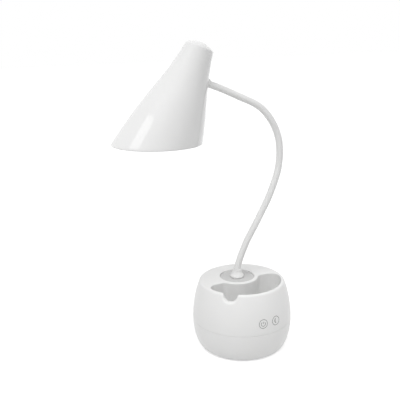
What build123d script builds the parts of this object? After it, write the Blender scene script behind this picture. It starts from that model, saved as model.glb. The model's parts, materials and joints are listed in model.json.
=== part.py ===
from build123d import *

import math
import os

# Desk lamp: a barrel-shaped base with a kidney-shaped pen well, a gooseneck and a cut-cone shade.
# Millimetres. Origin at the middle of the base on the table, +Z up, the front faces -Y.

# ---- Base shell ----
BASE_HEIGHT = 82.6
BASE_MAX_R = 59.0  # at the seam, the widest level
BASE_RIM_R = 50.2
BASE_FOOT_R = 45.9  # where the lower curve would reach the table
SEAM_Z = 36.0
FOOT_LIFT = 1.2  # the foot ring holds the pan this far off the table
SHELL_WALL = 2.2
PAN_FLOOR = 2.5
DECK_THICKNESS = 3.0
LIP_ROUND = 1.6
TONGUE_HEIGHT = 2.5
FIT_GAP = 0.1
BORE_GAP = 0.15

# ---- Pen well ----
WELL_R = 46.8  # inner face of the rim
WELL_BACK_Y = -0.5
WELL_HORN_ROUND = 10.0
WELL_WAIST_ROUND = 7.0
WELL_WALL = 1.8
WELL_LIP_ROUND = 1.3
WELL_FLOOR_ROUND = 3.0
SKIRT_DEPTH = 11.8
CUP_FLOOR_Z = 16.0
NOTCH_WIDTH = 17.5
NOTCH_DEPTH = 10.0
NOTCH_SHOULDER = 3.0
NOTCH_BOWL = 6.5
NOTCH_ANGLE = -134.0  # direction of the notch from +X

# ---- Night light and neck boss ----
BOSS_Y = 11.0
BOSS_R = 25.5
LENS_R = 20.7
LENS_THICKNESS = 2.0
LENS_BEVEL = 0.3
LENS_SINK = 1.6
LENS_LEDGE = 2.0
LEDGE_THICKNESS = 2.5
BOSS_SETBACK = 0.3  # the boss stays this far inside the well's wall
BOSS_WALL = 2.0
BOSS_DEPTH = 13.6  # from the deck down to the boss's floor
BOSS_FLOOR_THICKNESS = 3.0
BOARD_STEP = 1.5
BOARD_THICKNESS = 1.6
NIGHT_LED_COUNT = 6
NIGHT_LED_RING_R = 14.0
LED_SIZE = 2.8
LED_HEIGHT = 1.0

# ---- Neck fitting, collar and nut ----
FITTING_R = 4.0
FITTING_BORE_R = 2.1
FITTING_TAIL = 12.0
FLANGE_R = 7.0
FLANGE_THICKNESS = 1.5
WASHER_R = 7.5
WASHER_THICKNESS = 1.2
NUT_FLATS = 13.0
NUT_HEIGHT = 4.5
NUT_BEVEL = 0.5
COLLAR_FOOT_R = 9.0
COLLAR_TOP_R = 5.2
COLLAR_HEIGHT = 10.4

# ---- Gooseneck: links with two arcs each, positive turns lean towards the head ----
NECK_PLANE_ANGLE = 166.0  # direction from the neck's foot to the head, from +X
NECK_FOOT_RISE = 3.4  # the first link's foot over the deck
LINK_PITCH = 35.5
LINK_STUB = 3.0
LINK_TURNS = (
    (-20.0, -5.8),
    (-1.8, 0.4),
    (0.9, 3.6),
    (4.8, 10.2),
    (11.8, 10.2),
    (16.6, 18.8),
    (14.5, 4.1),
    (-2.3, 0.2),
)
LINK_SWING = 16.0  # most that one joint turns each way
SLEEVE_R = 3.95
CORE_R = 2.6
BALL_R = 1.9
BALL_STEM_R = 0.95
BALL_GAP = 0.05
SOCKET_WRAP = 115.0  # how far the socket reaches round the ball, from its pole
SOCKET_SKIN_GAP = 0.05

# ---- Shade: two tangent arcs turned about the axis, T is the distance down the axis ----
SHADE_TOP_R = 15.9
SHADE_WAIST_T = 50.0
SHADE_WAIST_R = 28.9
SHADE_FLARE = 19.0  # slope of the wall at the waist
SHADE_FOOT_T = 150.0
SHADE_FOOT_R = 54.6
SHADE_WALL = 1.8
CROWN_RISE = 4.9
CROWN_EDGE_ROUND = 1.3
MOUTH_T = 113.6  # where the axis leaves through the mouth
MOUTH_TILT = 22.8
NECK_ENTRY_T = 33.1
HEAD_COLLAR_R = 6.0
HEAD_COLLAR_LENGTH = 4.0
HEAD_COLLAR_ROUND = 1.0
HEAD_FITTING_REACH = 9.0  # inside the wall
NUT_CROWN = 1.0  # extra stock of the inner nut, cut to the wall
SEAT_GAP = 0.05

# ---- Light unit inside the shade ----
CARRIER_T = 62.0
CARRIER_PLATE = 2.0
CARRIER_SKIRT = 9.0
CARRIER_WALL = 1.6
CARRIER_GAP = 0.4
LED_BOARD_R = 18.5
LED_RING_R = 14.0
LED_INNER_R = 6.5
LED_COUNT = 12
LED_INNER_COUNT = 6
DIFFUSER_THICKNESS = 1.6
DIFFUSER_RING_HEIGHT = 2.0
DIFFUSER_RING_LAP = 2.0
CARRIER_POST_R = 3.0
CARRIER_POST_RING_R = 22.5
CARRIER_POST_LENGTH = 20.0
CARRIER_SCREWS = 3
LEAD_HOLE_R = 2.5

# ---- Housing screws, foot ring, ballast ----
POST_R = 4.0
PAN_POST_R = 4.5
POST_MEET_Z = 9.0
REAR_POST_ANGLE = 62.0  # from +X, outside the foot ring
FRONT_POST_ANGLE = -61.7  # inside the foot ring
SCREW_R = 1.5
SCREW_LENGTH = 8.0
SCREW_HEAD_R = 2.8
SCREW_HEAD_HEIGHT = 2.0
SCREW_RECESS = 5.2
SCREW_HEAD_ROUND = 0.5
FOOT_OUTER_R = 40.8
FOOT_WIDTH = 7.5
FOOT_THICKNESS = 2.2
FOOT_BEVEL = 0.4
FOOT_SCREW_GAP = 0.6  # from the ring's groove to the screw recesses
BALLAST_R = 40.0
BALLAST_THICKNESS = 3.5
BALLAST_PAD = 3.0
BALLAST_PAD_R = 3.5
BALLAST_POST_GAP = 0.5
BALLAST_SCREW_RING_R = 28.0
BALLAST_SCREW_ANGLES = (-90.0, 170.0, 10.0)
SMALL_SCREW_R = 1.2
SMALL_HEAD_R = 2.2
SMALL_HEAD_HEIGHT = 1.6
BALLAST_SCREW_LENGTH = 6.0
BOARD_SCREW_LENGTH = 8.0
CARRIER_SCREW_LENGTH = 8.0

# ---- Battery, control board, charging port ----
CELL_R = 9.15
CELL_LENGTH = 65.0
CELL_EDGE_ROUND = 0.8
CELL_BOARD_GAP = 4.85
CRADLE_WALL = 1.2
CRADLE_WIDTH = 16.0
TAB_THICKNESS = 0.3
TAB_WIDTH = 6.0
TAB_RISE = 10.4
MAIN_BOARD_Z = 20.0
MAIN_BOARD_WIDTH = 28.0
MAIN_BOARD_DEPTH = 17.0
MAIN_POST_R = 3.0
MAIN_POST_X = 10.5
MAIN_POST_INSET = 9.0  # from the board's rear edge
PORT_WIDTH = 8.9
PORT_HEIGHT = 3.2
PORT_LENGTH = 7.5
PORT_WALL = 0.4
PORT_SINK = 1.75  # how deep the inlet's face lies in the shell
PORT_OVERHANG = 3.4  # the inlet reaches past the board's edge
PORT_GAP = 0.3
PORT_RECESS = (13.0, 7.5)

# ---- Touch keys behind the front wall ----
TOUCH_ANGLES = (-95.0, -78.0)  # power and night light, from +X
TOUCH_Z = 49.5
TOUCH_BOARD_GAP = 4.1  # from the wall's inner face to the flat board
TOUCH_BOARD_WIDTH = 28.0
TOUCH_BOARD_HEIGHT = 18.0
TOUCH_BOARD_THICKNESS = 1.2
TOUCH_PAD_R = 3.8
TOUCH_RIB = 2.0
TOUCH_RIB_REACH = 3.0  # past the board's face, into the wall

WIRE_R = 0.6
WIRE_BEND = 3.0


# ---- Shared forms ----
barrel_rise = BASE_HEIGHT - SEAM_Z
barrel_draw_in = BASE_MAX_R - BASE_RIM_R
barrel_arc_r = (barrel_rise**2 + barrel_draw_in**2) / (2 * barrel_draw_in)
deck_under_z = BASE_HEIGHT - DECK_THICKNESS
skirt_z = BASE_HEIGHT - SKIRT_DEPTH
pan_floor_z = FOOT_LIFT + PAN_FLOOR
boss_floor_z = BASE_HEIGHT - BOSS_DEPTH
neck_foot_z = BASE_HEIGHT + NECK_FOOT_RISE
foot_inner_r = FOOT_OUTER_R - FOOT_WIDTH


def barrel_radius(z, inset=0.0):
    """Radius of the upper shell at height z, set in from the outer face."""
    return BASE_MAX_R - barrel_arc_r + math.sqrt((barrel_arc_r - inset) ** 2 - (z - SEAM_Z) ** 2)


def polar(radius, angle):
    """Point at a radius and an angle in degrees from +X."""
    return (radius * math.cos(math.radians(angle)), radius * math.sin(math.radians(angle)))


def ring_points(radius, angles):
    return [polar(radius, angle) for angle in angles]


def upper_outline(inset, bottom, top):
    """Half section of the upper barrel between two levels."""
    low = (barrel_radius(bottom, inset), bottom)
    high = (barrel_radius(top, inset), top)
    middle_z = (bottom + top) / 2
    wall = ThreePointArc(low, (barrel_radius(middle_z, inset), middle_z), high)
    return make_face([Line((0, bottom), low), wall, Line(high, (0, top)), Line((0, top), (0, bottom))])


def lower_outline(side_inset, floor_inset):
    """Half section of the pan: a flat bottom and a quarter ellipse up to the seam."""
    side_r = BASE_MAX_R - side_inset
    turn = EllipticalCenterArc(
        (BASE_FOOT_R, SEAM_Z),
        side_r - BASE_FOOT_R,
        SEAM_Z - floor_inset,
        start_angle=-90,
        arc_size=90,
    )
    bottom = Line((0, floor_inset), (BASE_FOOT_R, floor_inset))
    top = Line((side_r, SEAM_Z), (0, SEAM_Z))
    return make_face([bottom, turn, top, Line((0, SEAM_Z), (0, floor_inset))])


def pan_radius(z):
    """Radius of the pan's outer face at height z."""
    drop = (SEAM_Z - z) / SEAM_Z
    return BASE_FOOT_R + (BASE_MAX_R - BASE_FOOT_R) * math.sqrt(1 - drop**2)


def turned(half_section):
    """Turns a half section, drawn with X outwards and Y along the axis, into a solid."""
    return revolve(Plane.XZ * half_section, Axis.Z, 360)


def tube(outer_r, inner_r, low, high, x=0.0, y=0.0):
    """Upright tube or, with no bore, a cylinder between two levels."""
    ring = Circle(outer_r) - Circle(inner_r) if inner_r > 0 else Circle(outer_r)
    return extrude(Pos(x, y, low) * ring, high - low)


def block(x_range, y_range, z_range):
    """Box between the given corners."""
    size = [high - low for low, high in (x_range, y_range, z_range)]
    middle = [(high + low) / 2 for low, high in (x_range, y_range, z_range)]
    return Pos(*middle) * Box(*size)


def well_outline(grow=0.0):
    """Kidney outline of the pen well, moved outwards by grow."""
    round_wall = Circle(WELL_R + grow)
    reach = 4 * WELL_R
    back = Pos(0, WELL_BACK_Y + grow - reach / 2) * Rectangle(reach, reach)
    kidney = (round_wall & back) - Pos(0, BOSS_Y) * Circle(BOSS_R - grow)
    corners = kidney.vertices()
    horns = [v for v in corners if abs(v.X) > BOSS_R + WELL_WAIST_ROUND]
    waists = [v for v in corners if abs(v.X) <= BOSS_R + WELL_WAIST_ROUND]
    kidney = fillet(horns, WELL_HORN_ROUND + grow)
    kept = kidney.vertices()
    waists = [v for v in kept if any((v.center() - w.center()).length < FIT_GAP for w in waists)]
    return fillet(waists, WELL_WAIST_ROUND + grow)


def at_angle(angle, radius=0.0, z=0.0):
    """Plane facing outwards in a direction from the middle: X runs round, Y up."""
    a = math.radians(angle)
    outwards = Vector(math.cos(a), math.sin(a), 0)
    return Plane(
        origin=outwards * radius + Vector(0, 0, z),
        x_dir=(-math.sin(a), math.cos(a), 0),
        z_dir=outwards,
    )


def mirrored_pair(shape):
    """The shape and its mirror image across the middle plane."""
    return [shape, mirror(shape, Plane.YZ)]


def wire(points, radius=WIRE_R):
    """Insulated lead along straight runs joined by arcs."""
    bends = []
    for before, at, after in zip(points, points[1:], points[2:]):
        into, out = Vector(at) - Vector(before), Vector(after) - Vector(at)
        turn = math.radians(into.get_angle(out))
        bends.append(min(WIRE_BEND, 0.45 * min(into.length, out.length) / math.tan(turn / 2)))
    path = FilletPolyline(*points, radius=bends)
    start = Plane(origin=points[0], z_dir=Vector(points[1]) - Vector(points[0]))
    return sweep(start * Circle(radius), path=path)


def screw(head_r, head_height, shank_r, shank_length):
    """Pan-head screw that points along +Z, its head under the origin plane."""
    head = Pos(0, 0, -head_height / 2) * Cylinder(head_r, head_height)
    head = fillet(head.edges().sort_by(Axis.Z)[0], SCREW_HEAD_ROUND)
    shank = Pos(0, 0, shank_length / 2) * Cylinder(shank_r, shank_length)
    tip = chamfer(shank.edges().sort_by(Axis.Z)[-1], shank_r * 0.4)
    cross_depth = head_height * 0.5
    slot = Box(head_r * 1.1, head_r * 0.25, cross_depth)
    slot += Box(head_r * 0.25, head_r * 1.1, cross_depth)
    return head + tip - Pos(0, 0, -head_height + cross_depth / 2) * slot


# ---- Places of the housing screws, the touch board and the charging inlet ----
screw_clear = SCREW_HEAD_R + BORE_GAP + FOOT_SCREW_GAP
rear_post = polar(FOOT_OUTER_R + BORE_GAP + screw_clear, REAR_POST_ANGLE)
front_post = polar(foot_inner_r - BORE_GAP - screw_clear, FRONT_POST_ANGLE)
touch_board_face = barrel_radius(TOUCH_Z, SHELL_WALL) - TOUCH_BOARD_GAP
port_z = MAIN_BOARD_Z + BOARD_THICKNESS + PORT_HEIGHT / 2
port_face_y = pan_radius(port_z) - PORT_SINK
board_back_y = port_face_y - PORT_OVERHANG
board_front_y = board_back_y - MAIN_BOARD_DEPTH
cell_y = board_front_y - CELL_BOARD_GAP - CELL_R


# ---- Upper housing: shell, deck, rim, skirt, ring boss and screw posts ----
notch_plane = at_angle(NOTCH_ANGLE, 0, BASE_HEIGHT)
lens_seat_z = BASE_HEIGHT - LENS_SINK - LENS_THICKNESS
boss_tube_r = BOSS_R - WELL_WALL - BOSS_SETBACK
boss_bore_r = boss_tube_r - BOSS_WALL
night_board_z = boss_floor_z + BOARD_STEP


def notch_outline():
    """U with a rounded bowl and flared shoulders, its top on the rim's level."""
    half = NOTCH_WIDTH / 2
    cut = RectangleRounded(NOTCH_WIDTH, 2 * NOTCH_DEPTH, NOTCH_BOWL)
    for side in (-1, 1):
        corner = Rectangle(NOTCH_SHOULDER, NOTCH_SHOULDER)
        corner = Pos(side * (half + NOTCH_SHOULDER / 2), -NOTCH_SHOULDER / 2) * corner
        cut += corner - Pos(side * (half + NOTCH_SHOULDER), -NOTCH_SHOULDER) * Circle(NOTCH_SHOULDER)
    return cut


def upper_housing():
    section = upper_outline(0, SEAM_Z, BASE_HEIGHT)
    rim_corner = section.vertices().group_by(Axis.Y)[-1].sort_by(Axis.X)[-1]
    puck = turned(fillet(rim_corner, LIP_ROUND))
    body = puck - turned(upper_outline(SHELL_WALL, SEAM_Z, deck_under_z))
    rebate_top = SEAM_Z + TONGUE_HEIGHT + FIT_GAP
    body -= turned(upper_outline(SHELL_WALL / 2 - FIT_GAP, SEAM_Z, rebate_top))
    body += extrude(Pos(0, 0, skirt_z) * well_outline(WELL_WALL), deck_under_z - skirt_z + FIT_GAP)

    liner = notch_plane * Pos(0, -SKIRT_DEPTH / 2, BASE_MAX_R / 2)
    liner *= Box(NOTCH_WIDTH + 2 * WELL_WALL, SKIRT_DEPTH, BASE_MAX_R)
    liner &= extrude(Pos(0, 0, skirt_z) * (Circle(BASE_MAX_R) - Circle(WELL_R)), SKIRT_DEPTH)
    body += liner & puck

    body += tube(boss_tube_r, 0, boss_floor_z - BOSS_FLOOR_THICKNESS, deck_under_z + FIT_GAP, 0, BOSS_Y)
    post = tube(POST_R, 0, POST_MEET_Z, deck_under_z + FIT_GAP, *rear_post)
    post &= puck + turned(lower_outline(0, 0))
    for one in mirrored_pair(post):
        body += one
    body += touch_ribs()

    body -= extrude(Pos(0, 0, skirt_z) * well_outline(), SKIRT_DEPTH)
    rim = body.edges().filter_by_position(Axis.Z, BASE_HEIGHT - 0.01, BASE_HEIGHT + 0.01)
    well_lip = [e for e in rim if max(math.hypot((e @ u).X, (e @ u).Y) for u in (0, 0.5, 1)) < WELL_R + 0.5]
    body = fillet(well_lip, WELL_LIP_ROUND)

    body -= tube(LENS_R + BORE_GAP, 0, lens_seat_z, BASE_HEIGHT, 0, BOSS_Y)
    body -= tube(LENS_R - LENS_LEDGE, 0, lens_seat_z - LEDGE_THICKNESS, lens_seat_z, 0, BOSS_Y)
    body -= tube(boss_bore_r, 0, night_board_z, lens_seat_z - LEDGE_THICKNESS, 0, BOSS_Y)
    body -= tube(boss_bore_r - LENS_LEDGE, 0, boss_floor_z, night_board_z, 0, BOSS_Y)
    body -= tube(FITTING_R + BORE_GAP, 0, 0, boss_floor_z, 0, BOSS_Y)
    pilot = tube(SCREW_R + FIT_GAP, 0, POST_MEET_Z, POST_MEET_Z + SCREW_LENGTH, *rear_post)
    for hole in mirrored_pair(pilot):
        body -= hole
    body -= notch_plane * extrude(notch_outline(), 2 * BASE_MAX_R)
    return body


def touch_middle():
    """Plane of the touch board's outer face, midway between the two keys."""
    return at_angle(sum(TOUCH_ANGLES) / 2, touch_board_face, TOUCH_Z)


def touch_ribs():
    """Two slotted ribs inside the front wall that hold the touch board by its edges."""
    depth = TOUCH_BOARD_THICKNESS + 2 * TOUCH_RIB
    both = None
    for side in (-1, 1):
        x = side * TOUCH_BOARD_WIDTH / 2
        rib = Pos(x, 0, TOUCH_RIB - depth / 2) * Box(2 * TOUCH_RIB, TOUCH_BOARD_HEIGHT, depth)
        tie = Box(TOUCH_RIB, TOUCH_BOARD_HEIGHT, 2 * TOUCH_RIB_REACH)
        tie = Pos(x + side * TOUCH_RIB / 2, 0, TOUCH_RIB) * tie
        rib = touch_middle() * rib
        tie = touch_middle() * tie
        both = rib + tie if both is None else both + rib + tie
    both &= turned(upper_outline(SHELL_WALL / 2, SEAM_Z, deck_under_z))
    return both - touch_board(FIT_GAP)


def touch_board(grow=0.0):
    plate = Box(
        TOUCH_BOARD_WIDTH + 2 * grow,
        TOUCH_BOARD_HEIGHT + 4 * grow,
        TOUCH_BOARD_THICKNESS + 2 * grow,
    )
    return touch_middle() * Pos(0, 0, -TOUCH_BOARD_THICKNESS / 2) * plate


def touch_pads():
    """Conductive foam discs between the touch board and the front wall, one behind each key."""
    middle = sum(TOUCH_ANGLES) / 2
    inside = turned(upper_outline(SHELL_WALL + BORE_GAP, SEAM_Z, deck_under_z))
    pads = []
    for angle in TOUCH_ANGLES:
        shift = touch_board_face * math.tan(math.radians(angle - middle))
        pad = touch_middle() * Pos(shift, 0, 0) * extrude(Circle(TOUCH_PAD_R), SHELL_WALL * 2)
        pads.append(pad & inside)
    return pads


# ---- Pen cup ----
cup_bottom_z = CUP_FLOOR_Z - WELL_WALL


def pen_cup():
    cup = extrude(Pos(0, 0, cup_bottom_z) * well_outline(WELL_WALL), skirt_z - cup_bottom_z)
    hollow = extrude(Pos(0, 0, CUP_FLOOR_Z) * well_outline(), skirt_z - CUP_FLOOR_Z)
    hollow = fillet(hollow.edges().group_by(Axis.Z)[0], WELL_FLOOR_ROUND)
    cup -= hollow
    for post in mirrored_pair(tube(POST_R, 0, POST_MEET_Z, cup_bottom_z, *front_post)):
        cup += post
    pilot_top = cup_bottom_z + WELL_WALL / 2
    for hole in mirrored_pair(tube(SCREW_R + FIT_GAP, 0, POST_MEET_Z, pilot_top, *front_post)):
        cup -= hole
    return cup


# ---- Lower housing and what stands in it ----
pad_top_z = pan_floor_z + BALLAST_PAD
ballast_top_z = pad_top_z + BALLAST_THICKNESS
posts = [
    (side * x, y)
    for x, y in (rear_post, front_post)
    for side in (-1, 1)
]
main_posts = [(side * MAIN_POST_X, board_back_y - MAIN_POST_INSET) for side in (-1, 1)]


ballast_points = ring_points(BALLAST_SCREW_RING_R, BALLAST_SCREW_ANGLES)


def lower_housing():
    span = Pos(BASE_MAX_R, (FOOT_LIFT + SEAM_Z) / 2) * Rectangle(2 * BASE_MAX_R, SEAM_Z - FOOT_LIFT)
    body = turned(lower_outline(0, 0) & span)
    body -= turned(lower_outline(SHELL_WALL, pan_floor_z))
    tongue_top = SEAM_Z + TONGUE_HEIGHT
    tongue = turned(upper_outline(SHELL_WALL / 2 + FIT_GAP, SEAM_Z - FIT_GAP, tongue_top))
    body += tongue - turned(upper_outline(SHELL_WALL, SEAM_Z - FIT_GAP, tongue_top))
    form = turned(lower_outline(0, 0))
    for x, y in posts:
        body += tube(PAN_POST_R, 0, pan_floor_z - FIT_GAP, POST_MEET_Z, x, y) & form
    for x, y in posts:
        body -= tube(SCREW_R + BORE_GAP, 0, FOOT_LIFT, POST_MEET_Z, x, y)
        body -= tube(SCREW_HEAD_R + BORE_GAP, 0, FOOT_LIFT, SCREW_RECESS, x, y)
    for x, y in ballast_points:
        body += tube(BALLAST_PAD_R, SMALL_SCREW_R + FIT_GAP, pan_floor_z, pad_top_z, x, y)
    for x, y in main_posts:
        body += tube(MAIN_POST_R, SMALL_SCREW_R + FIT_GAP, pan_floor_z, MAIN_BOARD_Z, x, y)
    body -= tube(FOOT_OUTER_R + BORE_GAP, foot_inner_r - BORE_GAP, 0, FOOT_THICKNESS)
    recess_w, recess_h = PORT_RECESS
    shell_y = (port_face_y - PORT_LENGTH, BASE_MAX_R)
    mouth = Box(PORT_WIDTH + 2 * PORT_GAP, shell_y[1] - shell_y[0], PORT_HEIGHT + 2 * PORT_GAP)
    mouth = Pos(0, sum(shell_y) / 2, port_z) * mouth
    funnel = Plane.XZ * Pos(0, port_z) * RectangleRounded(recess_w, recess_h, recess_h * 0.4)
    funnel = extrude(funnel, -BASE_MAX_R)
    body -= mouth & turned(lower_outline(-SHELL_WALL, pan_floor_z))
    body -= funnel - block((-recess_w, recess_w), (0, port_face_y + 2 * PORT_GAP), (0, 2 * port_z))
    return body


def foot_ring():
    """Rubber ring let into the pan's underside, clear of the screws."""
    ring = tube(FOOT_OUTER_R, foot_inner_r, 0, FOOT_THICKNESS)
    return chamfer(ring.edges().group_by(Axis.Z)[0], FOOT_BEVEL)


def housing_screws():
    one = screw(SCREW_HEAD_R, SCREW_HEAD_HEIGHT, SCREW_R, SCREW_LENGTH)
    return [Pos(x, y, SCREW_RECESS) * one for x, y in posts]


def ballast_plate():
    plate = tube(BALLAST_R, 0, pad_top_z, ballast_top_z)
    for x, y in posts:
        plate -= tube(PAN_POST_R + BALLAST_POST_GAP, 0, pad_top_z, ballast_top_z, x, y)
    for x, y in ballast_points:
        plate -= tube(SMALL_SCREW_R + BORE_GAP, 0, pad_top_z, ballast_top_z, x, y)
    return plate


def small_screws(points, seat_z, length):
    """Screws that point down, their heads on the seat level."""
    one = Rot(180, 0, 0) * screw(SMALL_HEAD_R, SMALL_HEAD_HEIGHT, SMALL_SCREW_R, length)
    return [Pos(x, y, seat_z) * one for x, y in points]


cell_z = ballast_top_z + CRADLE_WALL + CELL_R
cradle_half = CELL_LENGTH / 2 + TAB_THICKNESS + CRADLE_WALL


def battery_cell():
    cell = Pos(0, cell_y, cell_z) * Rot(0, 90, 0) * Cylinder(CELL_R, CELL_LENGTH)
    return fillet(cell.edges().filter_by(GeomType.CIRCLE), CELL_EDGE_ROUND)


def battery_cradle():
    y_range = (cell_y - CRADLE_WIDTH / 2, cell_y + CRADLE_WIDTH / 2)
    tray = block((-cradle_half, cradle_half), y_range, (ballast_top_z, cell_z))
    inside = cradle_half - CRADLE_WALL
    tray -= Pos(0, cell_y, cell_z) * Rot(0, 90, 0) * Cylinder(CELL_R + FIT_GAP / 2, 2 * inside)
    return tray


def battery_tabs():
    x_range = (CELL_LENGTH / 2, CELL_LENGTH / 2 + TAB_THICKNESS)
    y_range = (cell_y - TAB_WIDTH / 2, cell_y + TAB_WIDTH / 2)
    return mirrored_pair(block(x_range, y_range, (cell_z - TAB_WIDTH / 2, cell_z + TAB_RISE)))


def main_board():
    half = MAIN_BOARD_WIDTH / 2
    top = MAIN_BOARD_Z + BOARD_THICKNESS
    board = block((-half, half), (board_front_y, board_back_y), (MAIN_BOARD_Z, top))
    for x, y in main_posts:
        board -= tube(SMALL_SCREW_R + BORE_GAP, 0, MAIN_BOARD_Z, top, x, y)
    return board


def board_chips():
    """Controller, charger chip and inductor on the control board."""
    top = MAIN_BOARD_Z + BOARD_THICKNESS
    chips = [((-3, 3), (2, 6), 1.2), ((-3, 3), (7.5, 10.5), 1.5), ((-9.8, -6.2), (1, 4.5), 3.0)]
    solids = []
    for xs, ys, height in chips:
        y_range = (board_front_y + ys[0], board_front_y + ys[1])
        solids.append(block(xs, y_range, (top, top + height)))
    return solids


def charge_socket():
    outline = RectangleRounded(PORT_WIDTH, PORT_HEIGHT, PORT_HEIGHT * 0.48)
    bore = RectangleRounded(PORT_WIDTH - 2 * PORT_WALL, PORT_HEIGHT - 2 * PORT_WALL, PORT_HEIGHT * 0.3)
    shell = extrude(outline, PORT_LENGTH) - Pos(0, 0, 1) * extrude(bore, PORT_LENGTH)
    tongue = Pos(0, 0, PORT_LENGTH / 2) * Box(PORT_WIDTH - 3, 0.7, PORT_LENGTH - 1)
    face = Plane(origin=(0, port_face_y - PORT_LENGTH, port_z), x_dir=(1, 0, 0), z_dir=(0, 1, 0))
    return face * (shell + tongue)


def battery_leads():
    tab_top = cell_z + TAB_RISE - WIRE_R
    board_top = MAIN_BOARD_Z + BOARD_THICKNESS
    y_end = board_front_y + 2.5
    route = [
        (CELL_LENGTH / 2, cell_y + 1, tab_top),
        (22, cell_y + 1, tab_top),
        (12, cell_y + 11.5, tab_top - 1.5),
        (11, y_end, tab_top - 4),
        (11, y_end, board_top),
    ]
    return mirrored_pair(wire(route))


def neck_leads():
    """Two leads from the neck's bore, down the boss and over the cell to the control board."""
    board_top = MAIN_BOARD_Z + BOARD_THICKNESS
    end_y = board_front_y + 4
    leads = []
    for side in (-1, 1):
        route = [
            (side * 1.0, BOSS_Y, boss_floor_z),
            (side * 1.0, BOSS_Y, boss_floor_z - 20),
            (side * 3.0, cell_y + 2, cell_z + CELL_R + 12.3),
            (side * 4.5, end_y, board_top + 13.4),
            (side * 4.5, end_y, board_top),
        ]
        leads.append(wire(route))
    return leads


def touch_lead():
    """Lead of the touch board: down the front wall, under the pen cup and over the cell."""
    board_top = MAIN_BOARD_Z + BOARD_THICKNESS
    under_cup = (ballast_top_z + cup_bottom_z) / 2
    over_cell = cell_z + CELL_R + 2.5
    low_edge = TOUCH_Z - TOUCH_BOARD_HEIGHT / 2
    face_y = -(touch_board_face - TOUCH_BOARD_THICKNESS / 2)
    route = [
        (7.5, face_y, low_edge),
        (7.5, face_y + 0.4, low_edge - 16),
        (7.5, face_y + 1, under_cup),
        (7.5, 3, under_cup),
        (7.5, BOSS_Y - 1.5, over_cell - 8),
        (7.5, BOSS_Y + 2, over_cell),
        (7.5, cell_y + CELL_R, over_cell),
        (7.5, board_front_y + 4, over_cell - 5),
        (7.5, board_front_y + 4.2, board_top),
    ]
    return wire(route)


# ---- Night light and the foot of the neck ----
lens_top_z = lens_seat_z + LENS_THICKNESS
flange_top_z = boss_floor_z + FLANGE_THICKNESS
plate_under_z = boss_floor_z - BOSS_FLOOR_THICKNESS


def night_light_lens():
    lens = tube(LENS_R, FITTING_R + BORE_GAP * 2, lens_seat_z, lens_top_z, 0, BOSS_Y)
    rim = lens.edges().group_by(Axis.Z)[-1].sort_by(SortBy.RADIUS)[-1]
    return chamfer(rim, LENS_BEVEL)


def night_light_board():
    top = night_board_z + BOARD_THICKNESS
    return tube(boss_bore_r - 2 * BORE_GAP, FLANGE_R + 1, night_board_z, top, 0, BOSS_Y)


def night_light_leds():
    top = night_board_z + BOARD_THICKNESS
    leds = []
    angles = [360 / NIGHT_LED_COUNT * k for k in range(NIGHT_LED_COUNT)]
    for x, y in ring_points(NIGHT_LED_RING_R, angles):
        leds.append(Pos(x, BOSS_Y + y, top + LED_HEIGHT / 2) * Box(LED_SIZE, LED_SIZE, LED_HEIGHT))
    return leds


def neck_fitting():
    tail_z = plate_under_z - FITTING_TAIL
    body = tube(FITTING_R, 0, tail_z, neck_foot_z, 0, BOSS_Y)
    body += tube(FLANGE_R, 0, boss_floor_z, flange_top_z, 0, BOSS_Y)
    return body - tube(FITTING_BORE_R, 0, tail_z, neck_foot_z, 0, BOSS_Y)


def neck_washer():
    low = plate_under_z - WASHER_THICKNESS
    return tube(WASHER_R, FITTING_R + BORE_GAP, low, plate_under_z, 0, BOSS_Y)


def hex_nut():
    """Nut with its top face on the origin plane."""
    hexagon = RegularPolygon(NUT_FLATS / 2, 6, major_radius=False)
    body = extrude(hexagon - Circle(FITTING_R + FIT_GAP / 2), -NUT_HEIGHT)
    drum = Pos(0, 0, -NUT_HEIGHT / 2) * Cylinder(NUT_FLATS / 2 * 1.1, NUT_HEIGHT)
    return body & chamfer(drum.edges(), NUT_BEVEL)


def neck_nut():
    return Pos(0, BOSS_Y, plate_under_z - WASHER_THICKNESS) * hex_nut()


def neck_collar():
    """White bell: a wide foot on the lens that draws in to a rounded mouth round the sleeve."""
    bore = SLEEVE_R + BORE_GAP
    top = COLLAR_HEIGHT
    flank = Spline(
        (COLLAR_FOOT_R, 1.2),
        (COLLAR_FOOT_R * 0.8, 3.0),
        (COLLAR_TOP_R + 0.6, top * 0.55),
        (COLLAR_TOP_R, top),
        tangents=((-0.5, 1), (0, 1)),
    )
    edges = [
        Line((bore, 0), (COLLAR_FOOT_R, 0)),
        Line((COLLAR_FOOT_R, 0), (COLLAR_FOOT_R, 1.2)),
        flank,
        Line((COLLAR_TOP_R, top), (bore, top)),
        Line((bore, top), (bore, 0)),
    ]
    bell = Pos(0, BOSS_Y, lens_top_z) * revolve(Plane.XZ * make_face(edges), Axis.Z, 360)
    return fillet(bell.edges().group_by(Axis.Z)[-1].sort_by(SortBy.RADIUS)[-1], 0.5)


# ---- Gooseneck chain ----
lean = math.radians(NECK_PLANE_ANGLE)
NECK_PLANE = Plane(
    origin=(0, BOSS_Y, 0),
    x_dir=(math.cos(lean), math.sin(lean), 0),
    z_dir=(math.sin(lean), -math.cos(lean), 0),
)
half_arc = LINK_PITCH / 2 - LINK_STUB
sleeve_setback = SLEEVE_R * math.tan(math.radians(LINK_SWING / 2)) + FIT_GAP
skin_r = CORE_R - SOCKET_SKIN_GAP
wrap_drop = (BALL_R + BALL_GAP) * -math.cos(math.radians(SOCKET_WRAP))
wrap_edge_r = math.sqrt(skin_r**2 - wrap_drop**2)
swing = math.radians(LINK_SWING)
shoulder_drop = wrap_drop * math.cos(swing) + wrap_edge_r * math.sin(swing) + 2 * FIT_GAP


def heading_vector(heading):
    a = math.radians(heading)
    return (math.cos(a), math.sin(a))


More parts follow.
